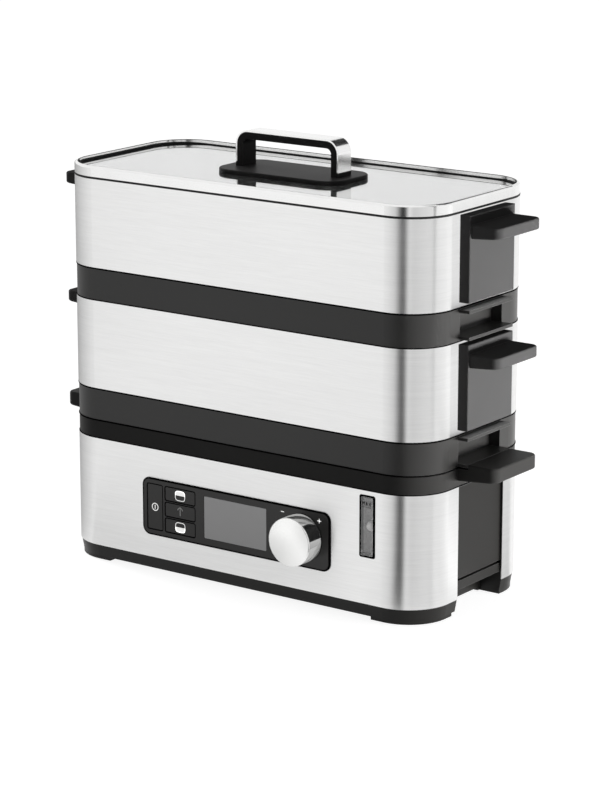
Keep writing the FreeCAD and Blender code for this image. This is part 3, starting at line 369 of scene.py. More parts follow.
def display_grey():
    """The dark grey film of a display that is off, a touch paler towards its lower edge."""
    low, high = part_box("display_window")
    material, s, shader = start_finish("display_grey", {
        "Specular IOR Level": 0.9, "Coat Weight": 1.0, "Coat Roughness": 0.08, "Coat IOR": 2.0})
    rise = (place_axes(s).other("Z") - low.z) * (1.0 / (high.z - low.z))
    film = even_noise(s, 60.0)
    grey = tint(s, rise * 0.7 + film * 0.3, (0.3, 0.296, 0.3), (0.256, 0.253, 0.257))
    grey.feed(shader, "Base Color")
    (0.22 + film * 0.06).feed(shader, "Roughness")
    return material


def circuit_board():
    """Green board with paler tracks between small square pads."""
    material, s, shader = start_finish("circuit_board", {"Specular IOR Level": 0.5})
    spot = s.node(
        "ShaderNodeMapping", None, {"Vector": places(s), "Scale": (300.0, 300.0, 300.0)})
    cells = s.node(
        "ShaderNodeTexVoronoi", {"distance": "CHEBYCHEV"}, {"Vector": spot, "Scale": 1.0})
    tracks = s.node(
        "ShaderNodeTexVoronoi", {"feature": "DISTANCE_TO_EDGE"}, {"Vector": spot, "Scale": 0.5})
    pads = cells < 0.16
    lines = tracks < 0.06
    green = tint(s, lines, (0.02, 0.13, 0.05), (0.03, 0.2, 0.08))
    tint(s, pads, green, (0.55, 0.5, 0.36)).feed(shader, "Base Color")
    (0.45 - pads * 0.2).feed(shader, "Roughness")
    return material


def heater_metal():
    """Cast aluminium, slightly mottled."""
    material, s, shader = start_finish("heater_metal", {"Metallic": 1.0})
    mottle = even_noise(s, 260.0, detail=5.0, roughness=0.6)
    tint(s, mottle, (0.48, 0.48, 0.48), (0.68, 0.68, 0.67)).feed(shader, "Base Color")
    (0.35 + mottle * 0.2).feed(shader, "Roughness")
    relief(s, mottle, 0.1 * MM, 0.3).feed(shader, "Normal")
    return material


def hardware_steel():
    """Plain plated steel of screws and shafts."""
    material, s, shader = start_finish("hardware_steel", {"Metallic": 1.0})
    plate = even_noise(s, 420.0, detail=3.0)
    tint(s, plate, (0.55, 0.55, 0.54), (0.7, 0.7, 0.69)).feed(shader, "Base Color")
    (0.22 + plate * 0.16).feed(shader, "Roughness")
    edge_round(s, SCREW_EDGE).feed(shader, "Normal")
    return material


def printed_ink(name, low, high, glow, specular):
    """Printed marks: flat ink with a little unevenness, and a glow of painted light where glow is set."""
    material, s, shader = start_finish(name, {
        "Specular IOR Level": specular,
        "Emission Color": (1.0, 1.0, 0.99, 1.0), "Emission Strength": glow})
    ink = even_noise(s, 1800.0)
    tint(s, ink, low, high).feed(shader, "Base Color")
    (0.45 + ink * 0.1).feed(shader, "Roughness")
    return material


# In the plastics, edge is the colour of their painted edge highlight.
finishes = {
    "brushed_steel": brushed_steel(),
    "polished_steel": polished_steel(),
    "tray_steel": tray_steel(),
    "dark_plastic": moulded_plastic(
        "dark_plastic", (0.034, 0.0332, 0.032), (0.044, 0.0432, 0.042),
        edge=0.16, rough=0.36, specular=0.38, grain=0.2),
    "handle_plastic": moulded_plastic(
        "handle_plastic", (0.082, 0.081, 0.081), (0.098, 0.097, 0.097),
        edge=0.2, rough=0.5, specular=0.0, grain=0.25),
    "panel_black": panel_gloss(),
    "display_grey": display_grey(),
    "smoked_clear": clear_sheet(
        "smoked_clear", (0.8, 0.795, 0.795), rough=0.03, rise=0.05, coat=0.6),
    "float_white": moulded_plastic(
        "float_white", (0.86, 0.86, 0.85), (0.92, 0.92, 0.91),
        edge=0.93, rough=0.35, specular=0.5, grain=0.05),
    "clear_glass": clear_sheet(
        "clear_glass", (0.96, 0.975, 0.97), rough=0.005, rise=0.02, coat=1.0),
    "dark_rubber": rubber("dark_rubber", (0.016, 0.016, 0.016), (0.03, 0.03, 0.03), rough=0.68),
    "silicone": rubber("silicone", (0.5, 0.5, 0.49), (0.62, 0.62, 0.61), rough=0.5),
    "reservoir_plastic": moulded_plastic(
        "reservoir_plastic", (0.055, 0.055, 0.055), (0.075, 0.075, 0.075),
        edge=0.09, rough=0.4, specular=0.4, grain=0.15),
    "heater_metal": heater_metal(),
    "board": circuit_board(),
    "component_black": moulded_plastic(
        "component_black", (0.035, 0.035, 0.035), (0.05, 0.05, 0.05),
        edge=0.07, rough=0.5, specular=0.4, grain=0.2),
    "hardware_steel": hardware_steel(),
}
# A grey of painted shade, for the line where the lid's rim turns down to the glass.
rim_shade_grey = rubber("rim_shade_grey", (0.1, 0.1, 0.1), (0.15, 0.15, 0.15), rough=0.6)
# A darker copy of the dark plastic for the base and its ends: its darkness is painted shade against the
# strong light on the ends.
base_plastic_shaded = moulded_plastic(
    "base_plastic_shaded", (0.012, 0.0115, 0.0107), (0.017, 0.0164, 0.0154),
    edge=0.08, rough=0.4, specular=0.2, grain=0.2)
drip_plastic = moulded_plastic(
    "drip_plastic", (0.038, 0.0372, 0.036), (0.048, 0.0472, 0.046),
    edge=0.16, rough=0.45, specular=0.06, grain=0.2)
lid_plastic = moulded_plastic(
    "lid_plastic", (0.034, 0.033, 0.033), (0.044, 0.043, 0.043),
    edge=0.09, rough=0.45, specular=0.04, grain=0.25)
# The white and grey inks glow as painted light that brightens the marks on the dim front.
white_ink = printed_ink(
    "white_ink", (0.74, 0.74, 0.73), (0.84, 0.84, 0.83), glow=0.7, specular=0.2)
grey_ink = printed_ink(
    "grey_ink", (0.2, 0.2, 0.198), (0.26, 0.26, 0.258), glow=0.12, specular=0.2)
# Black of the print, also used for painted shade at the panel's edge and between the tiers.
black_ink_and_shade = printed_ink(
    "black_ink_and_shade", (0.004, 0.004, 0.004), (0.008, 0.008, 0.008), glow=0.0, specular=0.0)

# Pieces that differ from the finish of their slot
own_finishes = {
    "selector_knob": knob_steel(),
    "base_chassis": base_plastic_shaded,
    "right_end_panel": base_plastic_shaded,
    "left_end_panel": base_plastic_shaded,
    "drip_tray": drip_plastic,
    "lid_handle_plate": lid_plastic,
    "lid_handle_grip": lid_plastic,
}
for row in frame["record"]["subparts"]:
    slots = frame["nodes"][row["node"]].data.materials
    slots.clear()
    slots.append(own_finishes.get(row["node"], finishes[row["material_slot"]]))

# The matt handles stay out of the mirror images in the steel beside them
for name in ("upper_right_handle", "upper_left_handle", "lower_right_handle", "lower_left_handle"):
    frame["nodes"][name].visible_glossy = False


# Shapes

# Points closer than this are joined into one
SAME_POINT = 1e-7


def place_object(name, data):
    """A new object at the origin of the scene."""
    made = bpy.data.objects.new(name, data)
    bpy.context.scene.collection.objects.link(made)
    return made


def sheet_mesh(grid, wrap_rows=False, wrap_columns=False):
    """Vertices and quads of a grid of points, joined round where it wraps."""
    rows, columns = grid.shape[:2]
    index = np.arange(rows * columns).reshape(rows, columns)
    if wrap_rows:
        index = np.vstack([index, index[:1]])
    if wrap_columns:
        index = np.hstack([index, index[:, :1]])
    quads = np.stack([index[:-1, :-1], index[1:, :-1], index[1:, 1:], index[:-1, 1:]], axis=-1)
    return grid.reshape(-1, 3), quads.reshape(-1, 4)


def add_piece(name, meshes, finish, body, smooth=True):
    """One object from several grids, at the origin, riding on a body."""
    starts = np.cumsum([0] + [len(points) for points, _ in meshes])
    points = np.vstack([points for points, _ in meshes])
    quads = np.vstack([faces + start for (_, faces), start in zip(meshes, starts)])
    mesh = bpy.data.meshes.new(name)
    mesh.from_pydata(points.tolist(), [], quads.tolist())
    shaped = bmesh.new()
    shaped.from_mesh(mesh)
    bmesh.ops.remove_doubles(shaped, verts=shaped.verts, dist=SAME_POINT)
    bmesh.ops.recalc_face_normals(shaped, faces=shaped.faces)
    shaped.to_mesh(mesh)
    shaped.free()
    mesh.polygons.foreach_set("use_smooth", np.full(len(mesh.polygons), smooth))
    mesh.materials.append(finish)
    piece = place_object(name, mesh)
    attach(piece, body)


def full_turn(steps):
    """Angles once round, evenly spaced."""
    return np.linspace(0, 2 * np.pi, steps, endpoint=False)


def rounded_path(half_a, half_b, radius, steps):
    """Points and outward normals round a rectangle with round corners, as two arrays of pairs."""
    turn = np.radians(np.arange(4) * 90.0)[:, None] + np.linspace(0, np.pi / 2, steps)
    normals = np.stack([np.cos(turn), np.sin(turn)], axis=-1)
    sign_a = np.array([1, -1, -1, 1])[:, None]
    sign_b = np.array([1, 1, -1, -1])[:, None]
    points = radius * normals
    points[..., 0] += sign_a * (half_a - radius)
    points[..., 1] += sign_b * (half_b - radius)
    return points.reshape(-1, 2), normals.reshape(-1, 2)


def oval_profile(half_out, half_up, sunk=0.0, steps=12):
    """A closed oval section, sunk inwards: distance outwards and height."""
    turn = full_turn(steps)
    return np.stack([half_out * np.cos(turn) - sunk, half_up * np.sin(turn)], axis=-1)


def block_profile(width, height):
    """A closed rectangular section from the path inwards by width and forward by height."""
    return np.array([(0.0, 0.0), (0.0, height), (-width, height), (-width, 0.0)])


def carry_level(path, normals, profile, centre):
    """The profile carried along a path that lies level: out along the normal, up along Z."""
    out = profile[None, :, 0]
    grid = np.empty((len(path), len(profile), 3))
    grid[..., 0] = centre[0] + path[:, None, 0] + normals[:, None, 0] * out
    grid[..., 1] = centre[1] + path[:, None, 1] + normals[:, None, 1] * out
    grid[..., 2] = centre[2] + profile[None, :, 1]
    return sheet_mesh(grid, True, True)


def carry_upright(path, normals, profile, centre):
    """The profile carried along a path on the front: out along the normal, forward along -Y."""
    out = profile[None, :, 0]
    grid = np.empty((len(path), len(profile), 3))
    grid[..., 0] = centre[0] + path[:, None, 0] + normals[:, None, 0] * out
    grid[..., 1] = centre[1] - profile[None, :, 1]
    grid[..., 2] = centre[2] + path[:, None, 1] + normals[:, None, 1] * out
    return sheet_mesh(grid, True, True)


def strokes(ends, width, centre, height):
    """Straight printed strokes on the front: each pair of ends in (x, z) becomes a thin bar."""
    ends = np.asarray(ends, float).reshape(-1, 2, 2)
    start, stop = ends[:, 0], ends[:, 1]
    along = stop - start
    along /= np.linalg.norm(along, axis=1, keepdims=True)
    side = np.stack([-along[:, 1], along[:, 0]], axis=1) * width / 2
    ring = np.stack([start - side, stop - side, stop + side, start + side], axis=1)
    bars = np.empty((len(ends), 2, 4, 3))
    bars[..., 0] = centre[0] + ring[:, None, :, 0]
    bars[..., 2] = centre[2] + ring[:, None, :, 1]
    bars[..., 1] = centre[1] - np.array([0.0, height])[None, :, None]
    faces = np.array([
        (0, 1, 2, 3), (4, 5, 6, 7), (0, 1, 5, 4), (1, 2, 6, 5), (2, 3, 7, 6), (3, 0, 4, 7)])
    bar_corners = 8
    offset = np.arange(len(ends))[:, None, None] * bar_corners
    return bars.reshape(-1, 3), (faces[None] + offset).reshape(-1, 4)


def basket_outline(half_a, half_b, power, steps):
    """Points and normals round a squared oval |a|^power + |b|^power = 1."""
    turn = full_turn(steps)
    cos, sin = np.cos(turn), np.sin(turn)
    points = np.stack([
        half_a * np.sign(cos) * np.abs(cos) ** (2 / power),
        half_b * np.sign(sin) * np.abs(sin) ** (2 / power)], axis=-1)
    ahead = np.roll(points, -1, axis=0) - np.roll(points, 1, axis=0)
    normals = np.stack([ahead[:, 1], -ahead[:, 0]], axis=-1)
    return points, normals / np.linalg.norm(normals, axis=1, keepdims=True)


def basket_half(half_a, half_b, power, low, high, centre, height, rows=24, columns=13):
    """The part of a squared oval between two levels, filled: width follows the oval at each level."""
    level = np.linspace(low, high, rows)[:, None]
    reach = half_a * np.clip(1 - np.abs(level / half_b) ** power, 0, 1) ** (1 / power)
    across = np.linspace(-1, 1, columns)[None, :]
    top = np.empty((rows, columns, 3))
    top[..., 0] = centre[0] + reach * across
    top[..., 1] = centre[1] - height
    top[..., 2] = centre[2] + level
    return sheet_mesh(top)


# Marks on the keys and the panel: thickness of the print, width of its strokes
PRINT = 0.06 * MM
STROKE = 0.62 * MM

# Power sign: radius of its ring and half the height of its bar
POWER_RADIUS = 2.9 * MM
POWER_BAR = 1.5 * MM

# Basket sign: half sizes and squareness of its oval, width of its line, and the gap at its filled half
ICON_HALF_X = 4.4 * MM
ICON_HALF_Z = 3.7 * MM
ICON_POWER = 3.6
ICON_LINE = 0.5 * MM
ICON_GAP = 0.2 * MM

# Arrow: its head from left to right, and half the height of its shaft
ARROW_HEAD = np.array([(-2.2, 0.9), (-1.5, 2.2), (0.0, 3.1), (1.5, 2.2), (2.2, 0.9)]) * MM
ARROW_SHAFT = 2.9 * MM

# Less and more beside the knob: places in x and z, half lengths, and the width of their strokes
LESS_PLACE = (41.9 * MM, 64.9 * MM)
LESS_HALF = 1.3 * MM
MORE_PLACE = (72.6 * MM, 63.5 * MM)
MORE_HALF = 1.6 * MM
TURN_STROKE = 0.55 * MM

# The keys' lip behind the panel, their corners, and the dark joint drawn round them
KEY_LIP = 0.5 * MM
KEY_CORNER = 1.2 * MM
JOINT_LINE = 0.55 * MM

# Section of the painted shade, a black border along the panel's edge: outwards and forward
SHADE_BORDER = np.array([(0.04, -0.6), (0.04, -0.3), (-0.3, 0.06), (-1.1, 0.06), (-1.1, -0.6)]) * MM


def key_face(name):
    """Middle of a key's front face."""
    low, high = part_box(name)
    return (low.x + high.x) / 2, low.y, (low.z + high.z) / 2


def power_mark():
    """A ring with an upright bar in it."""
    centre = key_face("power_button")
    turn = full_turn(steps=64)
    normals = np.stack([np.cos(turn), np.sin(turn)], axis=-1)
    ring = carry_upright(normals * POWER_RADIUS, normals, block_profile(STROKE, PRINT), centre)
    bar = strokes([((0, -POWER_BAR), (0, POWER_BAR))], STROKE, centre, PRINT)
    add_piece("power_mark", [ring, bar], white_ink, "power_button", smooth=False)


def basket_mark(key, low, high):
    """A basket seen from the front, with the tier that the key works filled in."""
    centre = key_face(key)
    path, normals = basket_outline(ICON_HALF_X, ICON_HALF_Z, ICON_POWER, steps=96)
    rim = carry_upright(path, normals, block_profile(ICON_LINE, PRINT), centre)
    fill = basket_half(
        ICON_HALF_X - ICON_GAP, ICON_HALF_Z - ICON_GAP, ICON_POWER, low, high, centre, PRINT)
    add_piece(key + "_mark", [rim, fill], white_ink, key, smooth=False)


def arrow_mark():
    """An arrow upwards, like rising steam."""
    centre = key_face("start_button")
    head = np.stack([ARROW_HEAD[:-1], ARROW_HEAD[1:]], axis=1)
    shaft = [((0, -ARROW_SHAFT), (0, ARROW_SHAFT))]
    bars = [strokes(ends, STROKE, centre, PRINT) for ends in (head, shaft)]
    add_piece("arrow_mark", bars, grey_ink, "start_button", smooth=False)


def key_lines():
    """The dark joint round each key, on the panel's face."""
    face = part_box("control_bezel")[0].y
    joints = []
    for key in ("power_button", "upper_basket_button", "start_button", "lower_basket_button"):
        low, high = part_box(key)
        centre = ((low.x + high.x) / 2, face, (low.z + high.z) / 2)
        half_x = (high.x - low.x) / 2 - KEY_LIP
        half_z = (high.z - low.z) / 2 - KEY_LIP
        path, normals = rounded_path(
            half_x + JOINT_LINE, half_z + JOINT_LINE, KEY_CORNER + JOINT_LINE, steps=8)
        joints.append(carry_upright(path, normals, block_profile(JOINT_LINE, PRINT / 2), centre))
    add_piece("key_lines", joints, black_ink_and_shade, "base", smooth=False)


def panel_edge_shade():
    """A black border of painted shade that runs over the panel's rounded edge."""
    low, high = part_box("control_bezel")
    centre = ((low.x + high.x) / 2, low.y, (low.z + high.z) / 2)
    path, normals = rounded_path(
        (high.x - low.x) / 2, (high.z - low.z) / 2, PANEL_CORNER, steps=12)
    border = carry_upright(path, normals, SHADE_BORDER, centre)
    add_piece("panel_edge_shade", [border], black_ink_and_shade, "base", False)


def turn_marks():
    """Less and more beside the knob."""
    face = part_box("control_bezel")[0].y
    less_bar = [((-LESS_HALF, 0), (LESS_HALF, 0))]
    more_bars = [((-MORE_HALF, 0), (MORE_HALF, 0)), ((0, -MORE_HALF), (0, MORE_HALF))]
    signs = [
        strokes(bars, TURN_STROKE, (x, face, z), PRINT)
        for bars, (x, z) in ((less_bar, LESS_PLACE), (more_bars, MORE_PLACE))
    ]
    add_piece("turn_marks", signs, white_ink, "base", smooth=False)


# Frame of the water window: middle in x and z, half sizes, corner, width of its sides and what the right
# one adds to it as painted shade. Then how far its face and the outer edge of its bevel stand proud, how
# far it sinks in, and the bevel's width.
FRAME_PLACE = (111.2 * MM, 66.1 * MM)
FRAME_HALF_X = 6.35 * MM
FRAME_HALF_Z = 21.75 * MM
FRAME_CORNER = 1.5 * MM
FRAME_SIDE = 1.25 * MM
FRAME_SHADE_EXTRA = 0.4 * MM
FRAME_PROUD = 0.25 * MM
FRAME_SHOULDER = 0.7 * FRAME_PROUD
FRAME_SUNK = 0.4 * MM
FRAME_BEVEL = 0.12 * MM

# Level signs on the window: middle of the letters in x and z, their half sizes, how far they stand aside,
# then the ends of the lines and their levels from the letters, the strokes and the print
LEVEL_PLACE = (110.8 * MM, 81.9 * MM)
LETTER_HALF_X = 0.85 * MM
LETTER_HALF_Z = 1.3 * MM
LETTER_SHIFTS = (-2.6 * MM, 0.0, 2.5 * MM)
LINE_LEFT = -3.6 * MM
LINE_RIGHT = 3.4 * MM
LINE_LEVELS = (-2.5 * MM, -34.0 * MM)
LETTER_STROKE = 0.42 * MM
LINE_STROKE = 0.3 * MM
LEVEL_PRINT = 0.03 * MM


def window_frame():
    """A thin black frame round the water window, wider at its right side by painted shade."""
    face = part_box("front_wrap")[0].y
    path, normals = rounded_path(FRAME_HALF_X, FRAME_HALF_Z, FRAME_CORNER, steps=10)
    inner = path - normals * FRAME_SIDE
    # Painted shade: the right side is widened where the recess lies in shade.
    inner[:, 0] -= np.clip(normals[:, 0], 0, 1) * FRAME_SHADE_EXTRA
    lines = np.stack([path, path, path - normals * FRAME_BEVEL, inner, inner], axis=1)
    depths = np.array([-FRAME_SUNK, FRAME_SHOULDER, FRAME_PROUD, FRAME_PROUD, -FRAME_SUNK])
    grid = np.empty((len(path), len(depths), 3))
    grid[..., 0] = FRAME_PLACE[0] + lines[..., 0]
    grid[..., 1] = face - depths
    grid[..., 2] = FRAME_PLACE[1] + lines[..., 1]
    add_piece("window_frame", [sheet_mesh(grid, True, True)], black_ink_and_shade, "base", False)


def level_marks():
    """The upper level's letters with a line under them, and a line for the lower level."""
    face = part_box("sight_glass")[0].y
    centre = (LEVEL_PLACE[0], face, LEVEL_PLACE[1])
    w = LETTER_HALF_X
    h = LETTER_HALF_Z
    m = [((-w, -h), (-w, h)), ((-w, h), (0, -h * 0.2)), ((0, -h * 0.2), (w, h)), ((w, h), (w, -h))]
    a = [((-w, -h), (0, h)), ((0, h), (w, -h)), ((-w * 0.55, -h * 0.25), (w * 0.55, -h * 0.25))]
    x = [((-w, -h), (w, h)), ((-w, h), (w, -h))]
    meshes = [
        strokes(np.array(letter) + np.array((shift, 0.0)), LETTER_STROKE, centre, LEVEL_PRINT)
        for letter, shift in zip((m, a, x), LETTER_SHIFTS)
    ]
    lines = [((LINE_LEFT, level), (LINE_RIGHT, level)) for level in LINE_LEVELS]
    meshes.append(strokes(lines, LINE_STROKE, centre, LEVEL_PRINT))
    add_piece("level_marks", meshes, black_ink_and_shade, "base", smooth=False)


# Seals and painted shade lines: how far the glass's seal and the rim's line lie inside the body's outline,
# how far the line lies under the rim's top, and the section of the seal, outwards and up from the glass
SEAL_INSET = 2.4 * MM
LINE_INSET = 2.25 * MM
LINE_DROP = 0.2 * MM
SEAL_SECTION = MM * np.array([
    (0.05, -0.2), (0.05, 0.65), (-0.15, 0.8), (-0.4, 0.7), (-0.55, 0.3), (-0.6, 0.02), (-0.6, -0.2)])

# Painted shade between the tiers, black beads where the gaps lie in shade: piece, body that carries it,
# height of the line and half its width
TIER_SHADE_LINES = (
    ("upper_band_shade", "upper_basket", 213.65 * MM, 0.75 * MM),
    ("upper_foot_shade", "upper_basket", 190.75 * MM, 0.4 * MM),
    ("lower_band_shade", "lower_basket", 126.9 * MM, 0.75 * MM),
    ("lower_foot_shade", "lower_basket", 104.0 * MM, 0.55 * MM),
    ("drip_foot_shade", "drip_tray", 91.0 * MM, 0.4 * MM),
)


def body_bead(inset, profile, level):
    """A closed bead at a level round the body, inset from its outline."""
    path, normals = rounded_path(
        BODY_HALF_X - inset, BODY_HALF_Y - inset, BODY_CORNER - inset, steps=24)
    return carry_level(path, normals, profile, (0.0, BODY_Y, level))


def lid_seal():
    """The black bead that shows as a line between the lid's rim and the upper basket."""
    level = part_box("upper_shell")[1].z
    bead = body_bead(0.0, oval_profile(0.5 * MM, 0.95 * MM, sunk=0.28 * MM), level)
    add_piece("lid_seal", [bead], finishes["dark_rubber"], "lid")


def glass_seal():
    """The dark edge seal between the lid's glass and its rim, which stands twice as high at both ends,
    where its black is also painted reflection of the rim's dark inner wall.
    """
    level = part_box("lid_glass")[1].z
    points, quads = body_bead(SEAL_INSET, SEAL_SECTION, level)
    ends = np.clip((np.abs(points[:, 0]) - CORNER_X) / (BODY_CORNER - SEAL_INSET), 0, 1)
    points[:, 2] += np.clip(points[:, 2] - level, 0, None) * ends
    add_piece("glass_seal", [(points, quads)], finishes["dark_rubber"], "lid")


def rim_shade_line():
    """A fine grey line of painted shade where the lid's rolled rim turns down to the glass."""
    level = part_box("lid_rim")[1].z - LINE_DROP
    bead = body_bead(LINE_INSET, oval_profile(0.28 * MM, 0.22 * MM, steps=8), level)
    add_piece("rim_shade_line", [bead], rim_shade_grey, "lid")


def tier_shade_line(name, body, level, half_up):
    """A black bead round the body, painted shade that shows as the line between two tiers."""
    bead = body_bead(0.0, oval_profile(0.35 * MM, half_up, sunk=0.25 * MM), level)
    add_piece(name, [bead], black_ink_and_shade, body)


power_mark()
basket_mark("upper_basket_button", ICON_GAP, ICON_HALF_Z - ICON_GAP)
basket_mark("lower_basket_button", -ICON_HALF_Z + ICON_GAP, ICON_GAP / 2)
arrow_mark()
key_lines()
panel_edge_shade()
turn_marks()
window_frame()
level_marks()
lid_seal()
glass_seal()
rim_shade_line()
for shade_bead in TIER_SHADE_LINES:
    tier_shade_line(*shade_bead)


# Stage: floor, light and camera

FLOOR_REACH = 30.0
CARD_STEPS = 40
WHITE = (1.0, 1.0, 1.0, 1.0)

# The strip of floor in front of the body: its level, and how far its ends lean per metre forward
STRIP_LEVEL = 2.5 * MM
STRIP_LEFT = math.tan(math.radians(37.0))
STRIP_RIGHT = math.tan(math.radians(30.0))


def bare_tree(holder, output):
    """The emptied nodes of a material or a world, as a strand, and a new output node."""
    holder.use_nodes = True
    tree = holder.node_tree
    tree.nodes.clear()
    return Strand(tree), tree.nodes.new(output)


def seen_white(strand):
    """1 for sight, gloss and glass, and 0 for the light that falls on matt surfaces."""
    path = strand.node("ShaderNodeLightPath", out="Is Camera Ray")
    mirrored = path.other("Is Glossy Ray") * (path.other("Diffuse Depth") < 0.5)
    return clamped(strand, path + mirrored + path.other("Is Transmission Ray"))


def studio_floor():
    """A wide pale floor that is white in sight and in reflections, and keeps the shadow."""
    far = FLOOR_REACH
    mesh = bpy.data.meshes.new("studio_floor")
    corners = [(-far, -far, 0), (far, -far, 0), (far, far, 0), (-far, far, 0)]
    mesh.from_pydata(corners, [], [(0, 1, 2, 3)])
    floor = place_object("studio_floor", mesh)
    material = bpy.data.materials.new("floor_white")
    s, out = bare_tree(material, "ShaderNodeOutputMaterial")
    matt = s.node("ShaderNodeBsdfDiffuse", None, {"Color": (0.4, 0.4, 0.4, 1.0)})
    glow = s.node("ShaderNodeEmission", None, {"Color": WHITE, "Strength": 0.9})
    dark = s.node("ShaderNodeEmission", None, {"Strength": 0.0})
    lit = s.node("ShaderNodeMixShader", None, {0: seen_white(s), 1: dark, 2: glow})
    s.node("ShaderNodeAddShader", None, {0: matt, 1: lit}).feed(out, "Surface")
    mesh.materials.append(material)


def studio_world(ambient):
    """White in sight, in gloss and through glass, and a plain soft light elsewhere."""
    world = bpy.data.worlds.new("studio_white")
    bpy.context.scene.world = world
    s, out = bare_tree(world, "ShaderNodeOutputWorld")
    soft = s.node("ShaderNodeBackground", None, {"Color": WHITE, "Strength": ambient})
    white = s.node("ShaderNodeBackground", None, {"Color": WHITE, "Strength": 1.0})
    both = s.node("ShaderNodeMixShader", None, {0: seen_white(s), 1: soft, 2: white})
    both.feed(out, "Surface")


def gloss_card(name, points, quads, shade_of):
    """A card that gloss alone sees, with the brightness that shade_of makes of its places' axes."""
    mesh = bpy.data.meshes.new(name)
    mesh.from_pydata(points, [], quads)
    card = place_object(name, mesh)
    material = bpy.data.materials.new(name)
    s, out = bare_tree(material, "ShaderNodeOutputMaterial")
    shade = shade_of(s, place_axes(s))
    s.node("ShaderNodeEmission", None, {"Color": shade}).feed(out, "Surface")
    mesh.materials.append(material)
    card.visible_camera = False
    card.visible_diffuse = False
    card.visible_shadow = False
    card.visible_transmission = False


def round_card(name, centre, shades, reach, rise):
    """A card about centre, along the floor over the reach and then up over the rise. Its shades are pairs
    of azimuth and brightness from end to end, blended between them."""
    first = shades[0][0]
    last = shades[-1][0]
    turn = np.radians(np.linspace(first, last, CARD_STEPS))
    out = np.array([reach[0], reach[1], reach[1]])
    grid = np.empty((len(turn), 3, 3))
    grid[..., 0] = centre[0] + np.sin(turn)[:, None] * out
    grid[..., 1] = centre[1] - np.cos(turn)[:, None] * out
    grid[..., 2] = np.array([rise[0], rise[0], rise[1]])
    points, quads = sheet_mesh(grid)

    def shade_of(s, axes):
        """The shades blended by azimuth, counted from the card's middle so that it never wraps."""
        right = axes - centre[0]
        front = centre[1] - axes.other("Y")
        middle = math.radians((first + last) / 2)
        aside = right * math.cos(middle) - front * math.sin(middle)
        ahead = right * math.sin(middle) + front * math.cos(middle)
        part = 0.5 + s.sum_of("ARCTAN2", aside, ahead) * (1.0 / math.radians(last - first))
        stops = [
            ((azimuth - first) / (last - first), (bright, bright, bright, 1.0))
            for azimuth, bright in shades
        ]
        return s.node("ShaderNodeValToRGB", {"stops": stops}, {0: part})

    gloss_card(name, points.tolist(), quads.tolist(), shade_of)


def front_strip(near, far, dip, edge):
    """A card on the floor in front of the body's flat side: dimmer by dip beside the body, and white at its
    far end and within edge of its right side."""
    corners = [
        (side * CORNER_X + (level - CORNER_Y) * lean, level, STRIP_LEVEL)
        for side, lean, level in (
            (-1, STRIP_LEFT, near), (-1, STRIP_LEFT, far), (1, STRIP_RIGHT, far), (1, STRIP_RIGHT, near))
    ]

    def shade_of(s, axes):
        """White, less the dip where a place is close to the body and away from the right side."""
        close = (axes.other("Y") - far) * (1.0 / (near - far))
        right_side = CORNER_X + (axes.other("Y") - CORNER_Y) * STRIP_RIGHT
        inward = clamped(s, (right_side - axes) * (1.0 / edge))
        dim = 1.0 - dip
        return tint(s, close * close * inward, (1.0, 1.0, 1.0), (dim, dim, dim))

    gloss_card("front_strip", corners, [(0, 1, 2, 3)], shade_of)


def studio_sun(name, azimuth, elevation, strength, softness):
    """A soft lamp from far away. Azimuth turns from the front towards the right."""
    lamp = bpy.data.lights.new(name, "SUN")
    lamp.energy = strength * math.pi
    lamp.angle = math.radians(softness)
    holder = place_object(name, lamp)
    a = math.radians(azimuth)
    e = math.radians(elevation)
    source = Vector((math.sin(a) * math.cos(e), -math.cos(a) * math.cos(e), math.sin(e)))
    holder.rotation_euler = source.to_track_quat("Z", "Y").to_euler()
    holder.visible_glossy = False


def studio_panel(name, place, size, strength):
    """A soft lamp panel that stands upright and faces the object's middle at its own height."""
    lamp = bpy.data.lights.new(name, "AREA")
    lamp.shape = "RECTANGLE"
    lamp.size, lamp.size_y = size
    reach = math.hypot(place[0] - BODY_HALF_X, place[1])
    lamp.energy = strength * (math.pi * reach) ** 2
    holder = place_object(name, lamp)
    holder.location = place
    holder.rotation_euler = Vector((place[0], place[1], 0.0)).to_track_quat("Z", "Y").to_euler()
    holder.visible_camera = False
    holder.visible_glossy = False
    holder.visible_transmission = False


def photo_camera():
    """The camera that the photograph was taken with, as far as it could be fitted."""
    camera = bpy.data.cameras.new("photo_camera")
    camera.lens = CAMERA_LENS
    camera.sensor_width = CAMERA_FILM
    camera.clip_start, camera.clip_end = CAMERA_DEPTH
    holder = place_object("photo_camera", camera)
    holder.location = CAMERA_PLACE
    level = math.cos(CAMERA_PITCH)
    ahead = Vector((
        -math.sin(CAMERA_AZIMUTH) * level, math.cos(CAMERA_AZIMUTH) * level, -math.sin(CAMERA_PITCH)))
    holder.rotation_euler = ahead.to_track_quat("-Z", "Y").to_euler()
    bpy.context.scene.camera = holder


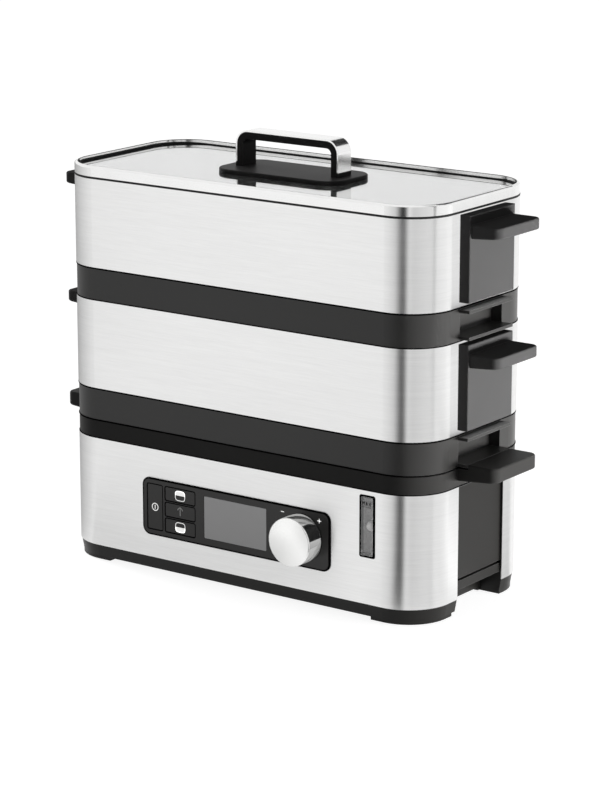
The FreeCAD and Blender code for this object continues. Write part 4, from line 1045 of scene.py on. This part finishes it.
# Brightness of the cards by azimuth, in degrees from the front towards the right. The left card dims
# towards the back, the corner card holds the dark line of the steel's corner, and the right card lies on
# the floor beside the right end. The back card hangs high and darkens the bend of the grip's strap, and
# the two flags, one above the other, put the dark band on the knob's side.
LEFT_SHADES = [(-140.0, 0.3), (-90.0, 0.6), (-60.0, 0.8), (-42.0, 0.93), (-37.0, 1.0)]
CORNER_SHADES = [
    (-30.0, 0.95), (-4.0, 0.7), (10.0, 0.05), (19.0, 0.02), (28.0, 0.9), (38.0, 0.7), (84.0, 0.86)]
RIGHT_SHADES = [
    (84.0, 0.9), (94.0, 0.98), (104.0, 0.92), (124.0, 1.05), (137.0, 1.33), (143.0, 1.35),
    (148.0, 0.65), (160.0, 0.65)]
BACK_SHADES = [(120.0, 1.0), (128.0, 0.03), (197.0, 0.03), (205.0, 1.0)]
LOW_FLAG_SHADES = [(85.0, 1.0), (86.0, 0.02), (91.0, 0.02), (92.0, 1.0)]
HIGH_FLAG_SHADES = [(83.0, 1.0), (85.0, 0.02), (95.0, 0.02), (98.0, 1.0)]

LEFT_CORNER = (-CORNER_X, CORNER_Y)
RIGHT_CORNER = (CORNER_X, CORNER_Y)
ORIGIN = (0.0, 0.0)

studio_floor()
studio_world(ambient=0.15)
studio_panel("key_right", place=(0.85, 0.2, 0.06), size=(0.4, 0.08), strength=2.0)
studio_sun("fill_left", azimuth=-101.0, elevation=12.0, strength=1.0, softness=20.0)
round_card("left_card", LEFT_CORNER, LEFT_SHADES, reach=(0.05, 0.7), rise=(0.002, 0.33))
round_card("corner_card", RIGHT_CORNER, CORNER_SHADES, reach=(0.05, 0.7), rise=(0.003, 0.6))
round_card("right_card", RIGHT_CORNER, RIGHT_SHADES, reach=(0.05, 1.4), rise=(0.003, 0.02))
round_card("back_card", ORIGIN, BACK_SHADES, reach=(1.0, 1.0), rise=(0.85, 1.9))
round_card("low_flag", ORIGIN, LOW_FLAG_SHADES, reach=(1.5, 1.5), rise=(0.02, 1.6))
round_card("high_flag", ORIGIN, HIGH_FLAG_SHADES, reach=(1.5, 1.5), rise=(1.6, 3.3))
front_strip(near=-0.075, far=-0.36, dip=0.38, edge=0.08)
photo_camera()
bpy.context.scene.view_settings.view_transform = "Standard"
